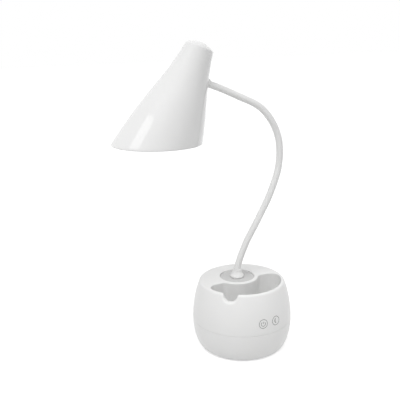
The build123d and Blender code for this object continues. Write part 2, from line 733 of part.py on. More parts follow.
def arc_or_line(start, heading, length, turn):
    """One bent or straight run in the neck's plane, with its end point and heading."""
    if abs(turn) < 0.01:
        run = Line(start, tuple(Vector(*start) + Vector(*heading_vector(heading)) * length)[:2])
    else:
        radius = length / abs(math.radians(turn))
        run = JernArc(start, heading_vector(heading), radius, -turn)
    end = run @ 1
    return run, (end.X, end.Y), heading - turn


def link_start(number):
    """Point and heading where link number begins, counted from 1 at the foot."""
    point, heading = (0.0, neck_foot_z), 90.0
    for turns in LINK_TURNS[: number - 1]:
        for length, turn in link_runs(turns, 0, 0):
            _, point, heading = arc_or_line(point, heading, length, turn)
    return point, heading


def link_runs(turns, trim_start, trim_end):
    first, second = turns
    return [
        (LINK_STUB - trim_start, 0),
        (half_arc, first),
        (half_arc, second),
        (LINK_STUB - trim_end, 0),
    ]


def station(point, heading):
    """Plane across the neck at a point of its centreline: Z runs along the neck."""
    along = NECK_PLANE.from_local_coords(Vector(*heading_vector(heading), 0)) - NECK_PLANE.origin
    middle = NECK_PLANE.from_local_coords(Vector(*point, 0))
    return Plane(origin=middle, x_dir=NECK_PLANE.z_dir, z_dir=along)


def link_tube(number, radius, trim_start, trim_end):
    """Solid round bar along one link's centreline."""
    point, heading = link_start(number)
    step = Vector(*heading_vector(heading)) * trim_start
    point = (point[0] + step.X, point[1] + step.Y)
    start = station(point, heading)
    runs = []
    for length, turn in link_runs(LINK_TURNS[number - 1], trim_start, trim_end):
        run, point, heading = arc_or_line(point, heading, length, turn)
        runs.append(run)
    path = NECK_PLANE * (Curve() + runs)
    return sweep(start * Circle(radius), path=path)


def neck_sleeve(number):
    trim_start = 0 if number == 1 else sleeve_setback
    trim_end = 0 if number == len(LINK_TURNS) else sleeve_setback
    skin = link_tube(number, SLEEVE_R, trim_start, trim_end)
    return skin - link_tube(number, CORE_R + FIT_GAP / 2, trim_start, trim_end)


def neck_core(number):
    """Steel link: a socket at its foot and a ball on a stem at its end."""
    last = number == len(LINK_TURNS)
    body = link_tube(number, CORE_R, 0, 0 if last else shoulder_drop)
    if number > 1:
        foot = station(*link_start(number))
        low = -wrap_drop
        skirt = make_face(
            [
                Line((0, low), (wrap_edge_r, low)),
                RadiusArc((wrap_edge_r, low), (skin_r, 0), -skin_r),
                Line((skin_r, 0), (0, 0)),
                Line((0, 0), (0, low)),
            ]
        )
        body += foot * revolve(Plane.XZ * skirt, Axis.Z, 360)
        body -= foot * Sphere(BALL_R + BALL_GAP)
    if not last:
        end = station(*link_start(number + 1))
        stem = Pos(0, 0, -shoulder_drop / 2) * Cylinder(BALL_STEM_R, shoulder_drop)
        body += end * (stem + Sphere(BALL_R))
    return body


# ---- Head: its own frame has the top of the shade's axis as origin and Z up the axis ----
def chord_slope(start, target):
    return math.degrees(math.atan2(target[0] - start[0], start[1] - target[1]))


def shade_points(inset):
    """Top, waist and foot of the wall with its end slopes, set in from the outer face."""
    top = (SHADE_TOP_R, 0.0)
    waist = (SHADE_WAIST_R, -SHADE_WAIST_T)
    foot = (SHADE_FOOT_R, -SHADE_FOOT_T)
    top_slope = 2 * chord_slope(top, waist) - SHADE_FLARE
    foot_slope = 2 * chord_slope(waist, foot) - SHADE_FLARE
    moved = []
    for (r, z), slope in ((top, top_slope), (waist, SHADE_FLARE), (foot, foot_slope)):
        a = math.radians(slope)
        moved.append((r - inset * math.cos(a), z - inset * math.sin(a)))
    return moved, top_slope


def shade_solid(inset):
    """Closed body of the shade, set in from its outer face, down past the mouth."""
    (top, waist, foot), top_slope = shade_points(inset)
    rise = 2 * CROWN_RISE
    above = (top[0] - rise * math.tan(math.radians(top_slope)), top[1] + rise)
    flare = math.radians(SHADE_FLARE)
    upper = TangentArc(waist, top, tangent=(-math.sin(flare), math.cos(flare)))
    lower = TangentArc(waist, foot, tangent=(math.sin(flare), -math.cos(flare)))
    edges = [
        Line((0, above[1]), above),
        Line(above, top),
        upper,
        lower,
        Line(foot, (0, foot[1])),
        Line((0, foot[1]), (0, above[1])),
    ]
    section = make_face(edges)
    crown_r = (SHADE_TOP_R**2 + CROWN_RISE**2) / (2 * CROWN_RISE)
    crown_z = CROWN_RISE - crown_r
    over = Pos(crown_r, crown_z + crown_r) * Rectangle(2 * crown_r, 2 * crown_r)
    over -= Pos(0, crown_z) * Circle(crown_r - inset)
    section -= over
    shoulder = section.vertices().filter_by_position(Axis.Y, -2, 2).sort_by(Axis.X)[-1]
    return revolve(Plane.XZ * fillet(shoulder, CROWN_EDGE_ROUND), Axis.Z, 360)


def shade_radius(t, inset=0.0):
    """Outer radius of the wall at a distance down the axis."""
    ruler = Edge.make_line((0, 0, -t), (2 * SHADE_FOOT_R, 0, -t))
    inside = ruler & shade_solid(inset)
    return max((e @ u).X for e in inside.edges() for u in (0, 1))


outer_shade = shade_solid(0)
inner_shade = shade_solid(SHADE_WALL)
entry_r = shade_radius(NECK_ENTRY_T)
neck_end, end_heading = link_start(len(LINK_TURNS) + 1)
neck_tip = station(neck_end, end_heading)
up_heading = Vector(*heading_vector(end_heading + 90), 0)
up_axis = NECK_PLANE.from_local_coords(up_heading) - NECK_PLANE.origin
HEAD = Plane(
    origin=neck_tip.origin + neck_tip.z_dir * entry_r + up_axis * NECK_ENTRY_T,
    x_dir=-neck_tip.z_dir,
    z_dir=up_axis,
)
entry = Pos(0, 0, -NECK_ENTRY_T) * Rot(0, 90, 0)  # along the neck's axis, Z outwards from the shade
mouth = Plane(origin=(0, 0, -MOUTH_T)).rotated((0, -MOUTH_TILT, 0))
carrier_low_t = CARRIER_T + CARRIER_SKIRT
carrier_r = shade_radius(CARRIER_T, SHADE_WALL) - CARRIER_GAP
carrier_angles = [60 + 360 / CARRIER_SCREWS * k for k in range(CARRIER_SCREWS)]
carrier_posts = ring_points(CARRIER_POST_RING_R, carrier_angles)


def below_mouth():
    """Everything past the mouth plane, in the head's frame."""
    size = 6 * SHADE_FOOT_R
    return mouth * Pos(0, 0, -size / 2) * Box(size, size, size)


def shade():
    shell = outer_shade - inner_shade
    posts_top = -CARRIER_T + CARRIER_POST_LENGTH
    pilot_top = -CARRIER_T + CARRIER_POST_LENGTH / 2
    for x, y in carrier_posts:
        post = tube(CARRIER_POST_R, 0, -CARRIER_T, posts_top, x, y) & shade_solid(SHADE_WALL / 2)
        shell += post
        shell -= tube(SMALL_SCREW_R + FIT_GAP, 0, -CARRIER_T, pilot_top, x, y)
    shell -= entry * Pos(0, 0, entry_r) * Cylinder(FITTING_R + BORE_GAP, entry_r)
    return shell - below_mouth()


def head_collar():
    """Ring that the sleeve ends in, its foot cut to the shade's wall."""
    ring = Circle(HEAD_COLLAR_R) - Circle(SLEEVE_R + FIT_GAP)
    inside = entry * Pos(0, 0, entry_r - HEAD_COLLAR_R)
    body = extrude(inside * ring, HEAD_COLLAR_R + HEAD_COLLAR_LENGTH)
    body = fillet(body.edges().group_by(Axis.X)[-1].sort_by(SortBy.RADIUS)[-1], HEAD_COLLAR_ROUND)
    return body - shade_solid(-SEAT_GAP)


def head_fitting():
    """Threaded steel tube through the wall, with a flat rim inside."""
    length = SHADE_WALL + HEAD_FITTING_REACH
    middle = entry * Pos(0, 0, entry_r - length / 2)
    return middle * Cylinder(FITTING_R, length) - middle * Cylinder(FITTING_BORE_R, length)


def head_nut():
    """Nut inside the shade, its outer face cut to the wall."""
    hexagon = RegularPolygon(NUT_FLATS / 2, 6, major_radius=False) - Circle(FITTING_R + FIT_GAP / 2)
    blank = extrude(hexagon, -NUT_HEIGHT - NUT_CROWN)
    nut = entry * Pos(0, 0, entry_r - SHADE_WALL + NUT_CROWN) * blank
    return nut & shade_solid(SHADE_WALL + SEAT_GAP)


def led_carrier():
    """White cup that holds the light unit: a plate on the shade's posts and a deep rim."""
    plate_low = -CARRIER_T - CARRIER_PLATE
    cup = tube(carrier_r, 0, plate_low, -CARRIER_T)
    cup += tube(carrier_r, carrier_r - CARRIER_WALL, -carrier_low_t, plate_low)
    for x, y in carrier_posts:
        cup -= tube(SMALL_SCREW_R + BORE_GAP, 0, plate_low, -CARRIER_T, x, y)
    return cup - tube(LEAD_HOLE_R, 0, plate_low, -CARRIER_T)


def carrier_screws():
    seat = -CARRIER_T - CARRIER_PLATE
    one = screw(SMALL_HEAD_R, SMALL_HEAD_HEIGHT, SMALL_SCREW_R, CARRIER_SCREW_LENGTH)
    return [Pos(x, y, seat) * one for x, y in carrier_posts]


board_top_t = CARRIER_T + CARRIER_PLATE
board_low_t = board_top_t + BOARD_THICKNESS
diffuser_top_t = carrier_low_t - DIFFUSER_RING_HEIGHT - DIFFUSER_THICKNESS


def led_board():
    return tube(LED_BOARD_R, LEAD_HOLE_R, -board_low_t, -board_top_t)


def led_chips():
    outer = ring_points(LED_RING_R, [360 / LED_COUNT * k for k in range(LED_COUNT)])
    inner = ring_points(LED_INNER_R, [360 / LED_INNER_COUNT * k for k in range(LED_INNER_COUNT)])
    low = -board_low_t - LED_HEIGHT / 2
    return [Pos(x, y, low) * Box(LED_SIZE, LED_SIZE, LED_HEIGHT) for x, y in outer + inner]


def diffuser():
    """Frosted plate on the ring, inside the carrier's rim."""
    low = -diffuser_top_t - DIFFUSER_THICKNESS
    return tube(carrier_r - CARRIER_WALL - BORE_GAP, 0, low, -diffuser_top_t)


def diffuser_ring():
    """Snap ring that carries the diffuser."""
    outer = carrier_r - CARRIER_WALL - FIT_GAP / 2
    low = -carrier_low_t
    return tube(outer, outer - DIFFUSER_RING_LAP, low, low + DIFFUSER_RING_HEIGHT)


def head_leads():
    """Two leads from the neck's bore through the carrier's hole to the LED board."""
    leads = []
    bore_x = entry_r - SHADE_WALL - HEAD_FITTING_REACH / 2
    for side in (-1, 1):
        y = side * 0.8
        route = [
            (bore_x, y, -NECK_ENTRY_T),
            (6, y, -NECK_ENTRY_T),
            (0, side * 1.2, -NECK_ENTRY_T - 8),
            (0, side * 1.6, -board_top_t - BOARD_THICKNESS),
        ]
        leads.append(wire(route))
    return leads


# ---- Nodes ----
nodes = {
    "upper_housing": upper_housing(),
    "pen_cup": pen_cup(),
    "lower_housing": lower_housing(),
    "foot_ring": foot_ring(),
    "housing_screws": housing_screws(),
    "ballast_plate": ballast_plate(),
    "ballast_screws": small_screws(ballast_points, ballast_top_z, BALLAST_SCREW_LENGTH),
    "battery_cell": battery_cell(),
    "battery_cradle": battery_cradle(),
    "battery_tabs": battery_tabs(),
    "battery_leads": battery_leads(),
    "main_board": main_board(),
    "board_chips": board_chips(),
    "board_screws": small_screws(main_posts, MAIN_BOARD_Z + BOARD_THICKNESS, BOARD_SCREW_LENGTH),
    "charge_socket": charge_socket(),
    "touch_board": touch_board(),
    "touch_pads": touch_pads(),
    "touch_lead": touch_lead(),
    "night_light_lens": night_light_lens(),
    "night_light_board": night_light_board(),
    "night_light_leds": night_light_leds(),
    "neck_fitting": neck_fitting(),
    "neck_washer": neck_washer(),
    "neck_nut": neck_nut(),
    "neck_collar": neck_collar(),
    "neck_leads": neck_leads(),
}
head_nodes = {
    "shade": shade(),
    "head_collar": head_collar(),
    "head_fitting": head_fitting(),
    "head_nut": head_nut(),
    "led_carrier": led_carrier(),
    "carrier_screws": carrier_screws(),
    "led_board": led_board(),
    "led_chips": led_chips(),
    "diffuser": diffuser(),
    "diffuser_ring": diffuser_ring(),
    "head_leads": head_leads(),
}
for name, shape in head_nodes.items():
    pieces = shape if isinstance(shape, list) else [shape]
    nodes[name] = [HEAD.location * piece for piece in pieces]
for number in range(1, len(LINK_TURNS) + 1):
    nodes[f"neck_core_{number}"] = neck_core(number)
    nodes[f"neck_sleeve_{number}"] = neck_sleeve(number)

os.makedirs("parts", exist_ok=True)
for name, shape in nodes.items():
    pieces = shape if isinstance(shape, list) else [shape]
    solids = [solid for piece in pieces for solid in piece.solids()]
    export_step(Compound(label=name, children=solids), f"parts/{name}.step")
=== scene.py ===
import json
import math

import bmesh
import bpy
from mathutils import Matrix, Vector
from mathutils.geometry import tessellate_polygon

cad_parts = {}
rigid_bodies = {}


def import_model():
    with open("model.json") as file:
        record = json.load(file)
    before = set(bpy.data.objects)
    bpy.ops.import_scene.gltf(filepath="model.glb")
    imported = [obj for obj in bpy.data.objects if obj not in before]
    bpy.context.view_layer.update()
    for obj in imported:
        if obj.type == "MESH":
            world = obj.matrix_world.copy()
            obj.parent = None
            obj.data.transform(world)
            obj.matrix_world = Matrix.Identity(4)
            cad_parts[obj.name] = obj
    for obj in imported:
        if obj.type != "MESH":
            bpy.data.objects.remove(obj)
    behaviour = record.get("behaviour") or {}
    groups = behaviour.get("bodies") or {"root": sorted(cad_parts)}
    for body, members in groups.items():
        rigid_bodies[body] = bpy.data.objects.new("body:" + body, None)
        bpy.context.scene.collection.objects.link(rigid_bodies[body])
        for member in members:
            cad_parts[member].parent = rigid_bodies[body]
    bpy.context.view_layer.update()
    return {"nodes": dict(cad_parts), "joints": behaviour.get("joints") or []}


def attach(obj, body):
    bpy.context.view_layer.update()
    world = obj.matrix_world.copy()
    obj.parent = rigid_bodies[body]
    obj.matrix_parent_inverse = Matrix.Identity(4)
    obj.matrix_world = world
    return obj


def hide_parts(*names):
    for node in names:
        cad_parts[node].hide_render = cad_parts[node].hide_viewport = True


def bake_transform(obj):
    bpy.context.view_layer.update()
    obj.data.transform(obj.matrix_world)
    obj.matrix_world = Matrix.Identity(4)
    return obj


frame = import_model()
mm = 0.001


# ---- Foot ring ----
# A dark rubber ring glued into a groove in the base's underside.
# It is moulded with two fine grooves that grip the table.
FOOT_OUTER_R = 40.8 * mm
FOOT_INNER_R = 33.3 * mm
FOOT_TOP = 2.2 * mm
FOOT_EDGE_ROUND = 0.4 * mm
FOOT_GROOVE = 0.35 * mm
FOOT_GROOVE_ROUND = 0.1 * mm
FOOT_GROOVE_SHARES = (0.33, 0.66)
FOOT_BLACK = (0.055, 0.055, 0.058)
RUB_SCALE = 90.0
GRAIN_DEPTH = 0.05 * mm


def arc_points(centre, radius, start, end, pieces):
    """Points along a flat arc, with angles in degrees from its first axis."""
    turns = [math.radians(start + (end - start) * k / pieces) for k in range(pieces + 1)]
    return [(centre[0] + radius * math.cos(a), centre[1] + radius * math.sin(a)) for a in turns]


def rounded(corners, pieces=5):
    """Closed half section from (radius, height, round) corners, each round an arc."""
    outline = []
    for k, (x, y, size) in enumerate(corners):
        if size == 0:
            outline.append((x, y))
            continue
        at = Vector((x, y))
        into = (Vector(corners[k - 1][:2]) - at).normalized()
        out = (Vector(corners[(k + 1) % len(corners)][:2]) - at).normalized()
        half = into.angle(out) / 2
        reach = size / math.tan(half)
        centre = at + (into + out).normalized() * size / math.sin(half)
        first, last = at + into * reach - centre, at + out * reach - centre
        for step in range(pieces + 1):
            outline.append(tuple(centre + first.slerp(last, step / pieces).normalized() * size))
    return outline


def mesh_piece(name, mesh, crease=32):
    """Scene object from a bmesh, smooth but for edges sharper than the crease angle."""
    bmesh.ops.recalc_face_normals(mesh, faces=mesh.faces)
    data = bpy.data.meshes.new(name)
    mesh.to_mesh(data)
    mesh.free()
    data.shade_smooth()
    data.set_sharp_from_angle(angle=math.radians(crease))
    piece = bpy.data.objects.new(name, data)
    bpy.context.scene.collection.objects.link(piece)
    return piece


def full_turn(steps):
    """Angles of evenly spaced points round a circle."""
    return [2 * math.pi * k / steps for k in range(steps)]


def level_ring(mesh, radius, height, steps, middle):
    """Level ring of vertices round an upright axis."""
    ring = []
    for a in full_turn(steps):
        place = (middle[0] + radius * math.cos(a), middle[1] + radius * math.sin(a), height)
        ring.append(mesh.verts.new(place))
    return ring


def bridge(mesh, low, high, closed=True):
    """Faces between two rows of vertices, where a vertex that both rows share makes a triangle."""
    count = len(low) if closed else len(low) - 1
    for k in range(count):
        after = (k + 1) % len(low)
        corners = [low[k], low[after], high[after], high[k]]
        corners = [v for i, v in enumerate(corners) if v not in corners[:i]]
        if len(corners) > 2:
            mesh.faces.new(corners)


def bridge_all(mesh, rows):
    """Faces between each row and the next."""
    for low, high in zip(rows, rows[1:]):
        bridge(mesh, low, high)


def turned(name, outline, steps=160, middle=(0.0, 0.0), crease=32):
    """Solid of revolution about an upright axis from a closed half section."""
    mesh = bmesh.new()
    rings = [level_ring(mesh, radius, height, steps, middle) for radius, height in outline]
    bridge_all(mesh, [*rings, rings[0]])
    return mesh_piece(name, mesh, crease)


def node_group(name, inputs, outputs):
    """Empty shader group with its named sockets, and its two end nodes."""
    group = bpy.data.node_groups.new(name, "ShaderNodeTree")
    for label, kind, value in inputs:
        socket = group.interface.new_socket(label, in_out="INPUT", socket_type=kind)
        socket.default_value = value
    for label, kind in outputs:
        group.interface.new_socket(label, in_out="OUTPUT", socket_type=kind)
    return group, group.nodes.new("NodeGroupInput"), group.nodes.new("NodeGroupOutput")


def add_node(tree, kind, inputs=(), **settings):
    """Node with its settings made and its inputs linked or set."""
    node = tree.nodes.new(kind)
    for label, value in settings.items():
        setattr(node, label, value)
    for label, value in inputs:
        if isinstance(value, bpy.types.NodeSocket):
            tree.links.new(value, node.inputs[label])
        else:
            node.inputs[label].default_value = value
    return node


def maths(tree, operation, *values):
    """Result of a sum on numbers or sockets."""
    return add_node(tree, "ShaderNodeMath", enumerate(values), operation=operation).outputs[0]


def noise(tree, place, scale, detail, roughness=0.5):
    """Strength of a cloudy pattern, from 0 to 1."""
    inputs = [("Vector", place), ("Scale", scale), ("Detail", detail), ("Roughness", roughness)]
    return add_node(tree, "ShaderNodeTexNoise", inputs).outputs["Fac"]


def tinted(tree, colour, strength):
    """Colour made stronger or weaker."""
    inputs = [(0, colour), ("Scale", strength)]
    return add_node(tree, "ShaderNodeVectorMath", inputs, operation="SCALE").outputs[0]


SKIN_OUTPUTS = [
    ("Colour", "NodeSocketColor"),
    ("Roughness", "NodeSocketFloat"),
    ("Height", "NodeSocketFloat"),
]


def make_moulded_skin():
    """Surface of a moulded part: faint clouds in its colour, a fine grain and rubbed patches."""
    skin, start, end = node_group(
        "moulded_skin",
        [
            ("Colour", "NodeSocketColor", (0.8, 0.8, 0.8, 1)),
            ("Cloud", "NodeSocketFloat", 0.02),
            ("Cloud Scale", "NodeSocketFloat", 40.0),
            ("Grain Scale", "NodeSocketFloat", 2500.0),
            ("Roughness", "NodeSocketFloat", 0.3),
            ("Rub", "NodeSocketFloat", 0.05),
        ],
        SKIN_OUTPUTS,
    )
    given = start.outputs
    place = add_node(skin, "ShaderNodeTexCoord").outputs["Object"]
    cloud = maths(skin, "SUBTRACT", noise(skin, place, given["Cloud Scale"], detail=3.0), 0.5)
    strength = maths(skin, "MULTIPLY_ADD", cloud, given["Cloud"], 1.0)
    rub = maths(skin, "SUBTRACT", noise(skin, place, RUB_SCALE, detail=4.0, roughness=0.6), 0.5)
    rough = maths(skin, "MULTIPLY_ADD", rub, given["Rub"], given["Roughness"])
    grain = noise(skin, place, given["Grain Scale"], detail=2.0)
    skin.links.new(tinted(skin, given["Colour"], strength), end.inputs["Colour"])
    skin.links.new(rough, end.inputs["Roughness"])
    skin.links.new(grain, end.inputs["Height"])
    return skin


moulded_skin = make_moulded_skin()


def skinned(name, group, values, bump, depth, constants):
    """Material whose colour, roughness and bump come from a group, with constants on its shader."""
    material = bpy.data.materials.new(name)
    material.use_nodes = True
    tree = material.node_tree
    shader = tree.nodes["Principled BSDF"]
    skin = add_node(tree, "ShaderNodeGroup", values, node_tree=group).outputs
    relief = [("Height", skin["Height"]), ("Strength", bump), ("Distance", depth)]
    normal = add_node(tree, "ShaderNodeBump", relief).outputs["Normal"]
    tree.links.new(skin["Colour"], shader.inputs["Base Color"])
    tree.links.new(skin["Roughness"], shader.inputs["Roughness"])
    tree.links.new(normal, shader.inputs["Normal"])
    for label, value in constants:
        shader.inputs[label].default_value = value
    return material


def moulded(name, colour, bump, constants=(), **values):
    """Material with the moulded skin, whose named inputs are the values."""
    settings = [(label.replace("_", " ").title(), value) for label, value in values.items()]
    settings.append(("Colour", (*colour, 1)))
    return skinned(name, moulded_skin, settings, bump, GRAIN_DEPTH, constants)


def dress(piece, material):
    """Gives a piece or a carried-over node one material."""
    piece.data.materials.clear()
    piece.data.materials.append(material)


def finish_piece(piece, material, body, slot, *nodes):
    """Material, body and the nodes that the piece stands for; the slot argument is not used."""
    dress(piece, material)
    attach(piece, body)
    if nodes:
        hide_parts(*nodes)


foot_corners = [(FOOT_INNER_R, FOOT_TOP, 0), (FOOT_INNER_R, 0, FOOT_EDGE_ROUND)]
for share in FOOT_GROOVE_SHARES:
    groove = FOOT_INNER_R + (FOOT_OUTER_R - FOOT_INNER_R) * share
    for side, height in ((-1, 0), (-1, FOOT_GROOVE), (1, FOOT_GROOVE), (1, 0)):
        foot_corners.append((groove + side * FOOT_GROOVE, height, FOOT_GROOVE_ROUND))
foot_corners += [(FOOT_OUTER_R, 0, FOOT_EDGE_ROUND), (FOOT_OUTER_R, FOOT_TOP, 0)]
foot_rubber = moulded(
    "foot rubber", FOOT_BLACK, bump=0.5, cloud=0.3, roughness=0.8, rub=0.15, grain_scale=1500.0
)
foot = turned("foot_ring_rubber", rounded(foot_corners, pieces=3))
finish_piece(foot, foot_rubber, "base", "foot_rubber", "foot_ring")


# ---- Lower housing ----
# The pan of the barrel, a white moulding with a flat bottom, a charging port at the rear and four
# screw recesses. It is the frame's own solid; the upper housing's bevel draws the seam over it.
HOUSING_WHITE = (0.91, 0.91, 0.904)

housing_white = moulded(
    "housing white",
    HOUSING_WHITE,
    bump=0.08,
    constants=[("Coat Weight", 0.2), ("Coat Roughness", 0.15), ("Specular IOR Level", 0.5)],
    cloud=0.03,
    roughness=0.36,
    rub=0.06,
)
dress(frame["nodes"]["lower_housing"], housing_white)


# ---- Inner pieces ----
# Steel weight, cell, boards, lamps, screws and leads, which show only when the lamp is opened.
# Four of the screws close the pan from below; their heads sit in its recesses.
ZINC_GREY = (0.62, 0.62, 0.6)
SHEET_GREY = (0.36, 0.36, 0.37)
NICKEL = (0.7, 0.67, 0.6)
INNER_WHITE = (0.78, 0.78, 0.77)
WIRE_WHITE = (0.74, 0.74, 0.72)
WIRE_RED = (0.4, 0.02, 0.015)
CELL_BLUE = (0.05, 0.16, 0.38)
BOARD_GREEN = (0.02, 0.13, 0.05)
BOARD_WHITE = (0.76, 0.76, 0.75)
CHIP_BLACK = (0.02, 0.02, 0.02)
PHOSPHOR_YELLOW = (0.8, 0.66, 0.2)
FOAM_BLACK = (0.06, 0.06, 0.06)
LINE_SQUEEZE = (0.05, 0.05, 1.0)
LINE_SHADES = (0.85, 1.1)
LINE_ROUGHNESS = 0.2
LINE_BUMP = 0.2
LINE_DEPTH = 0.02 * mm


def make_brushed():
    """Fine lines drawn across metal, which shade its colour and its polish."""
    lines, start, end = node_group(
        "brushed",
        [
            ("Colour", "NodeSocketColor", (0.6, 0.6, 0.6, 1)),
            ("Line Scale", "NodeSocketFloat", 900.0),
            ("Roughness", "NodeSocketFloat", 0.3),
        ],
        SKIN_OUTPUTS,
    )
    given = start.outputs
    place = add_node(lines, "ShaderNodeTexCoord").outputs["Object"]
    squeeze = add_node(lines, "ShaderNodeMapping", [("Vector", place), ("Scale", LINE_SQUEEZE)])
    line = noise(lines, squeeze.outputs[0], given["Line Scale"], detail=3.0)
    shades = [("Value", line), ("To Min", LINE_SHADES[0]), ("To Max", LINE_SHADES[1])]
    strength = add_node(lines, "ShaderNodeMapRange", shades).outputs[0]
    rough = maths(lines, "MULTIPLY_ADD", line, LINE_ROUGHNESS, given["Roughness"])
    lines.links.new(tinted(lines, given["Colour"], strength), end.inputs["Colour"])
    lines.links.new(rough, end.inputs["Roughness"])
    lines.links.new(line, end.inputs["Height"])
    return lines


brushed = make_brushed()


def metal(name, colour, roughness, line_scale=900.0):
    """Metal with drawn lines."""
    values = [("Colour", (*colour, 1)), ("Roughness", roughness), ("Line Scale", line_scale)]
    return skinned(name, brushed, values, LINE_BUMP, LINE_DEPTH, [("Metallic", 1.0)])


inner_white = moulded("inner white", INNER_WHITE, bump=0.3, cloud=0.05, roughness=0.55, rub=0.1)
lead_white = moulded("white wire", WIRE_WHITE, bump=0.2, cloud=0.08, roughness=0.5)
zinc_plated = metal("zinc plated steel", ZINC_GREY, roughness=0.25)
sheet_steel = metal("sheet steel", SHEET_GREY, roughness=0.4, line_scale=300.0)
nickel_strip = metal("nickel strip", NICKEL, roughness=0.2)
cell_wrap = moulded("cell wrap", CELL_BLUE, bump=0.2, cloud=0.15, roughness=0.3)
green_board = moulded(
    "green board", BOARD_GREEN, bump=0.4, cloud=0.5, cloud_scale=260.0, roughness=0.35
)
white_board = moulded("white board", BOARD_WHITE, bump=0.2, cloud=0.06, roughness=0.4)
chip_black = moulded("chip black", CHIP_BLACK, bump=0.6, cloud=0.3, roughness=0.5)
phosphor = moulded(
    "led phosphor", PHOSPHOR_YELLOW, bump=0.2, cloud=0.2, cloud_scale=600.0, roughness=0.3
)
lead_red = moulded("red wire", WIRE_RED, bump=0.2, cloud=0.1, roughness=0.45)
pad_foam = moulded("pad foam", FOAM_BLACK, bump=1.0, cloud=0.6, cloud_scale=900.0, roughness=0.9)

for material, *nodes in (
    (zinc_plated, "housing_screws", "ballast_screws", "board_screws", "carrier_screws"),
    (zinc_plated, "charge_socket", "neck_fitting", "neck_washer", "neck_nut"),
    (zinc_plated, "head_fitting", "head_nut"),
    (sheet_steel, "ballast_plate"),
    (nickel_strip, "battery_tabs"),
    (cell_wrap, "battery_cell"),
    (inner_white, "battery_cradle"),
    (green_board, "main_board", "touch_board"),
    (white_board, "night_light_board", "led_board"),
    (chip_black, "board_chips"),
    (phosphor, "night_light_leds", "led_chips"),
    (lead_red, "battery_leads"),
    (lead_white, "neck_leads", "touch_lead", "head_leads"),
    (pad_foam, "touch_pads"),
):
    for node in nodes:
        dress(frame["nodes"][node], material)


# ---- Upper housing ----
# The upper half of the barrel, its rolled rim, the flat deck behind the pen well and the ring
# round the night light, moulded in one. A U-shaped notch is let into the rim for a cable.
BASE_TOP = 82.6 * mm
BASE_MAX_R = 59.0 * mm
SEAM_Z = 36.0 * mm
SEAM_BEVEL = 0.3 * mm
RIM_R = 50.2 * mm
RIM_ROUND = 2.1 * mm
HOUSING_WALL = 1.2 * mm
HOUSING_ROWS = 24
WELL_R = 46.8 * mm
WELL_BACK_Y = -0.5 * mm
WELL_HORN_ROUND = 10.0 * mm
WELL_WAIST_ROUND = 7.0 * mm
WELL_ROUND = 1.25 * mm
SKIRT_Z = 70.8 * mm
SKIRT_SHARES = (0.17, 0.33, 0.5, 0.67, 0.83, 0.996, 1.0)  # close rows keep the cut end crisp
BOSS_Y = 11.0 * mm
BOSS_R = 25.5 * mm
LENS_BORE = 20.85 * mm
LENS_BORE_ROUND = 0.4 * mm
LENS_SEAT_Z = 79.0 * mm
LENS_LEDGE = 2.0 * mm
LENS_LEDGE_DEPTH = 9.0 * mm
LENS_BORE_STEPS = 128
NOTCH_ANGLE = -135.0
NOTCH_DEPTH = 8.8 * mm
NOTCH_SHOULDER = 2.6 * mm
NOTCH_BOWL = 8.0 * mm
SHOULDER_STEPS = 9
BOWL_STEPS = 15
LEFT_RIM_STEPS = 13
RIGHT_RIM_STEPS = 72
DECK_STEPS = 96
EDGE_STEPS = 6
HORN_STEPS = 14
WAIST_STEPS = 12
BOSS_STEPS = 20
WELD = 0.0001 * mm
LEVEL = Vector((0, 1))

rim_draw_in = BASE_MAX_R - RIM_R
barrel_arc_r = ((BASE_TOP - SEAM_Z) ** 2 + rim_draw_in**2) / (2 * rim_draw_in)
rim_middle_r = (WELL_R + RIM_R) / 2
boss_axis = (0.0, BOSS_Y)
horn = Vector((0, WELL_BACK_Y - WELL_HORN_ROUND))
horn.x = math.sqrt((WELL_R - WELL_HORN_ROUND) ** 2 - horn.y**2)
horn_angle = math.degrees(math.atan2(horn.y, horn.x))
waist = Vector((0, WELL_BACK_Y - WELL_WAIST_ROUND))
waist.x = math.sqrt((BOSS_R + WELL_WAIST_ROUND) ** 2 - (waist.y - BOSS_Y) ** 2)
waist_angle = math.degrees(math.atan2(waist.y - BOSS_Y, waist.x))
well_start, well_end = math.radians(-180 - horn_angle), math.radians(horn_angle)


def barrel_radius(z):
    """Radius of the barrel's outer face at a height over the seam's."""
    return BASE_MAX_R - barrel_arc_r + math.sqrt(barrel_arc_r**2 - (z - SEAM_Z) ** 2)


def at_turn(radius, turn, z):
    """Point at a radius and a turn about the base's axis."""
    return (radius * math.cos(turn), radius * math.sin(turn), z)


def quarter_round(size):
    """(depth, inset) pairs round an edge, from where the upright face ends to the level one."""
    turns = [math.radians(90 * k / EDGE_STEPS) for k in range(EDGE_STEPS + 1)]
    return [(size * (1 - math.sin(a)), size * (1 - math.cos(a))) for a in turns]


def well_back(grow):
    """The well's edge from its right horn round the boss to its left horn, moved out by grow."""
    right = []
    for centre, radius, start, end, way, pieces in (
        (horn, WELL_HORN_ROUND, horn_angle, 90, 1, HORN_STEPS),
        (waist, WELL_WAIST_ROUND, 90, waist_angle + 180, 1, WAIST_STEPS),
        (Vector(boss_axis), BOSS_R, waist_angle, -90, -1, BOSS_STEPS),
    ):
        right += arc_points(centre, radius + way * grow, start, end, pieces)
    left = [(-x, y) for x, y in right[-2::-1]]
    return right + left


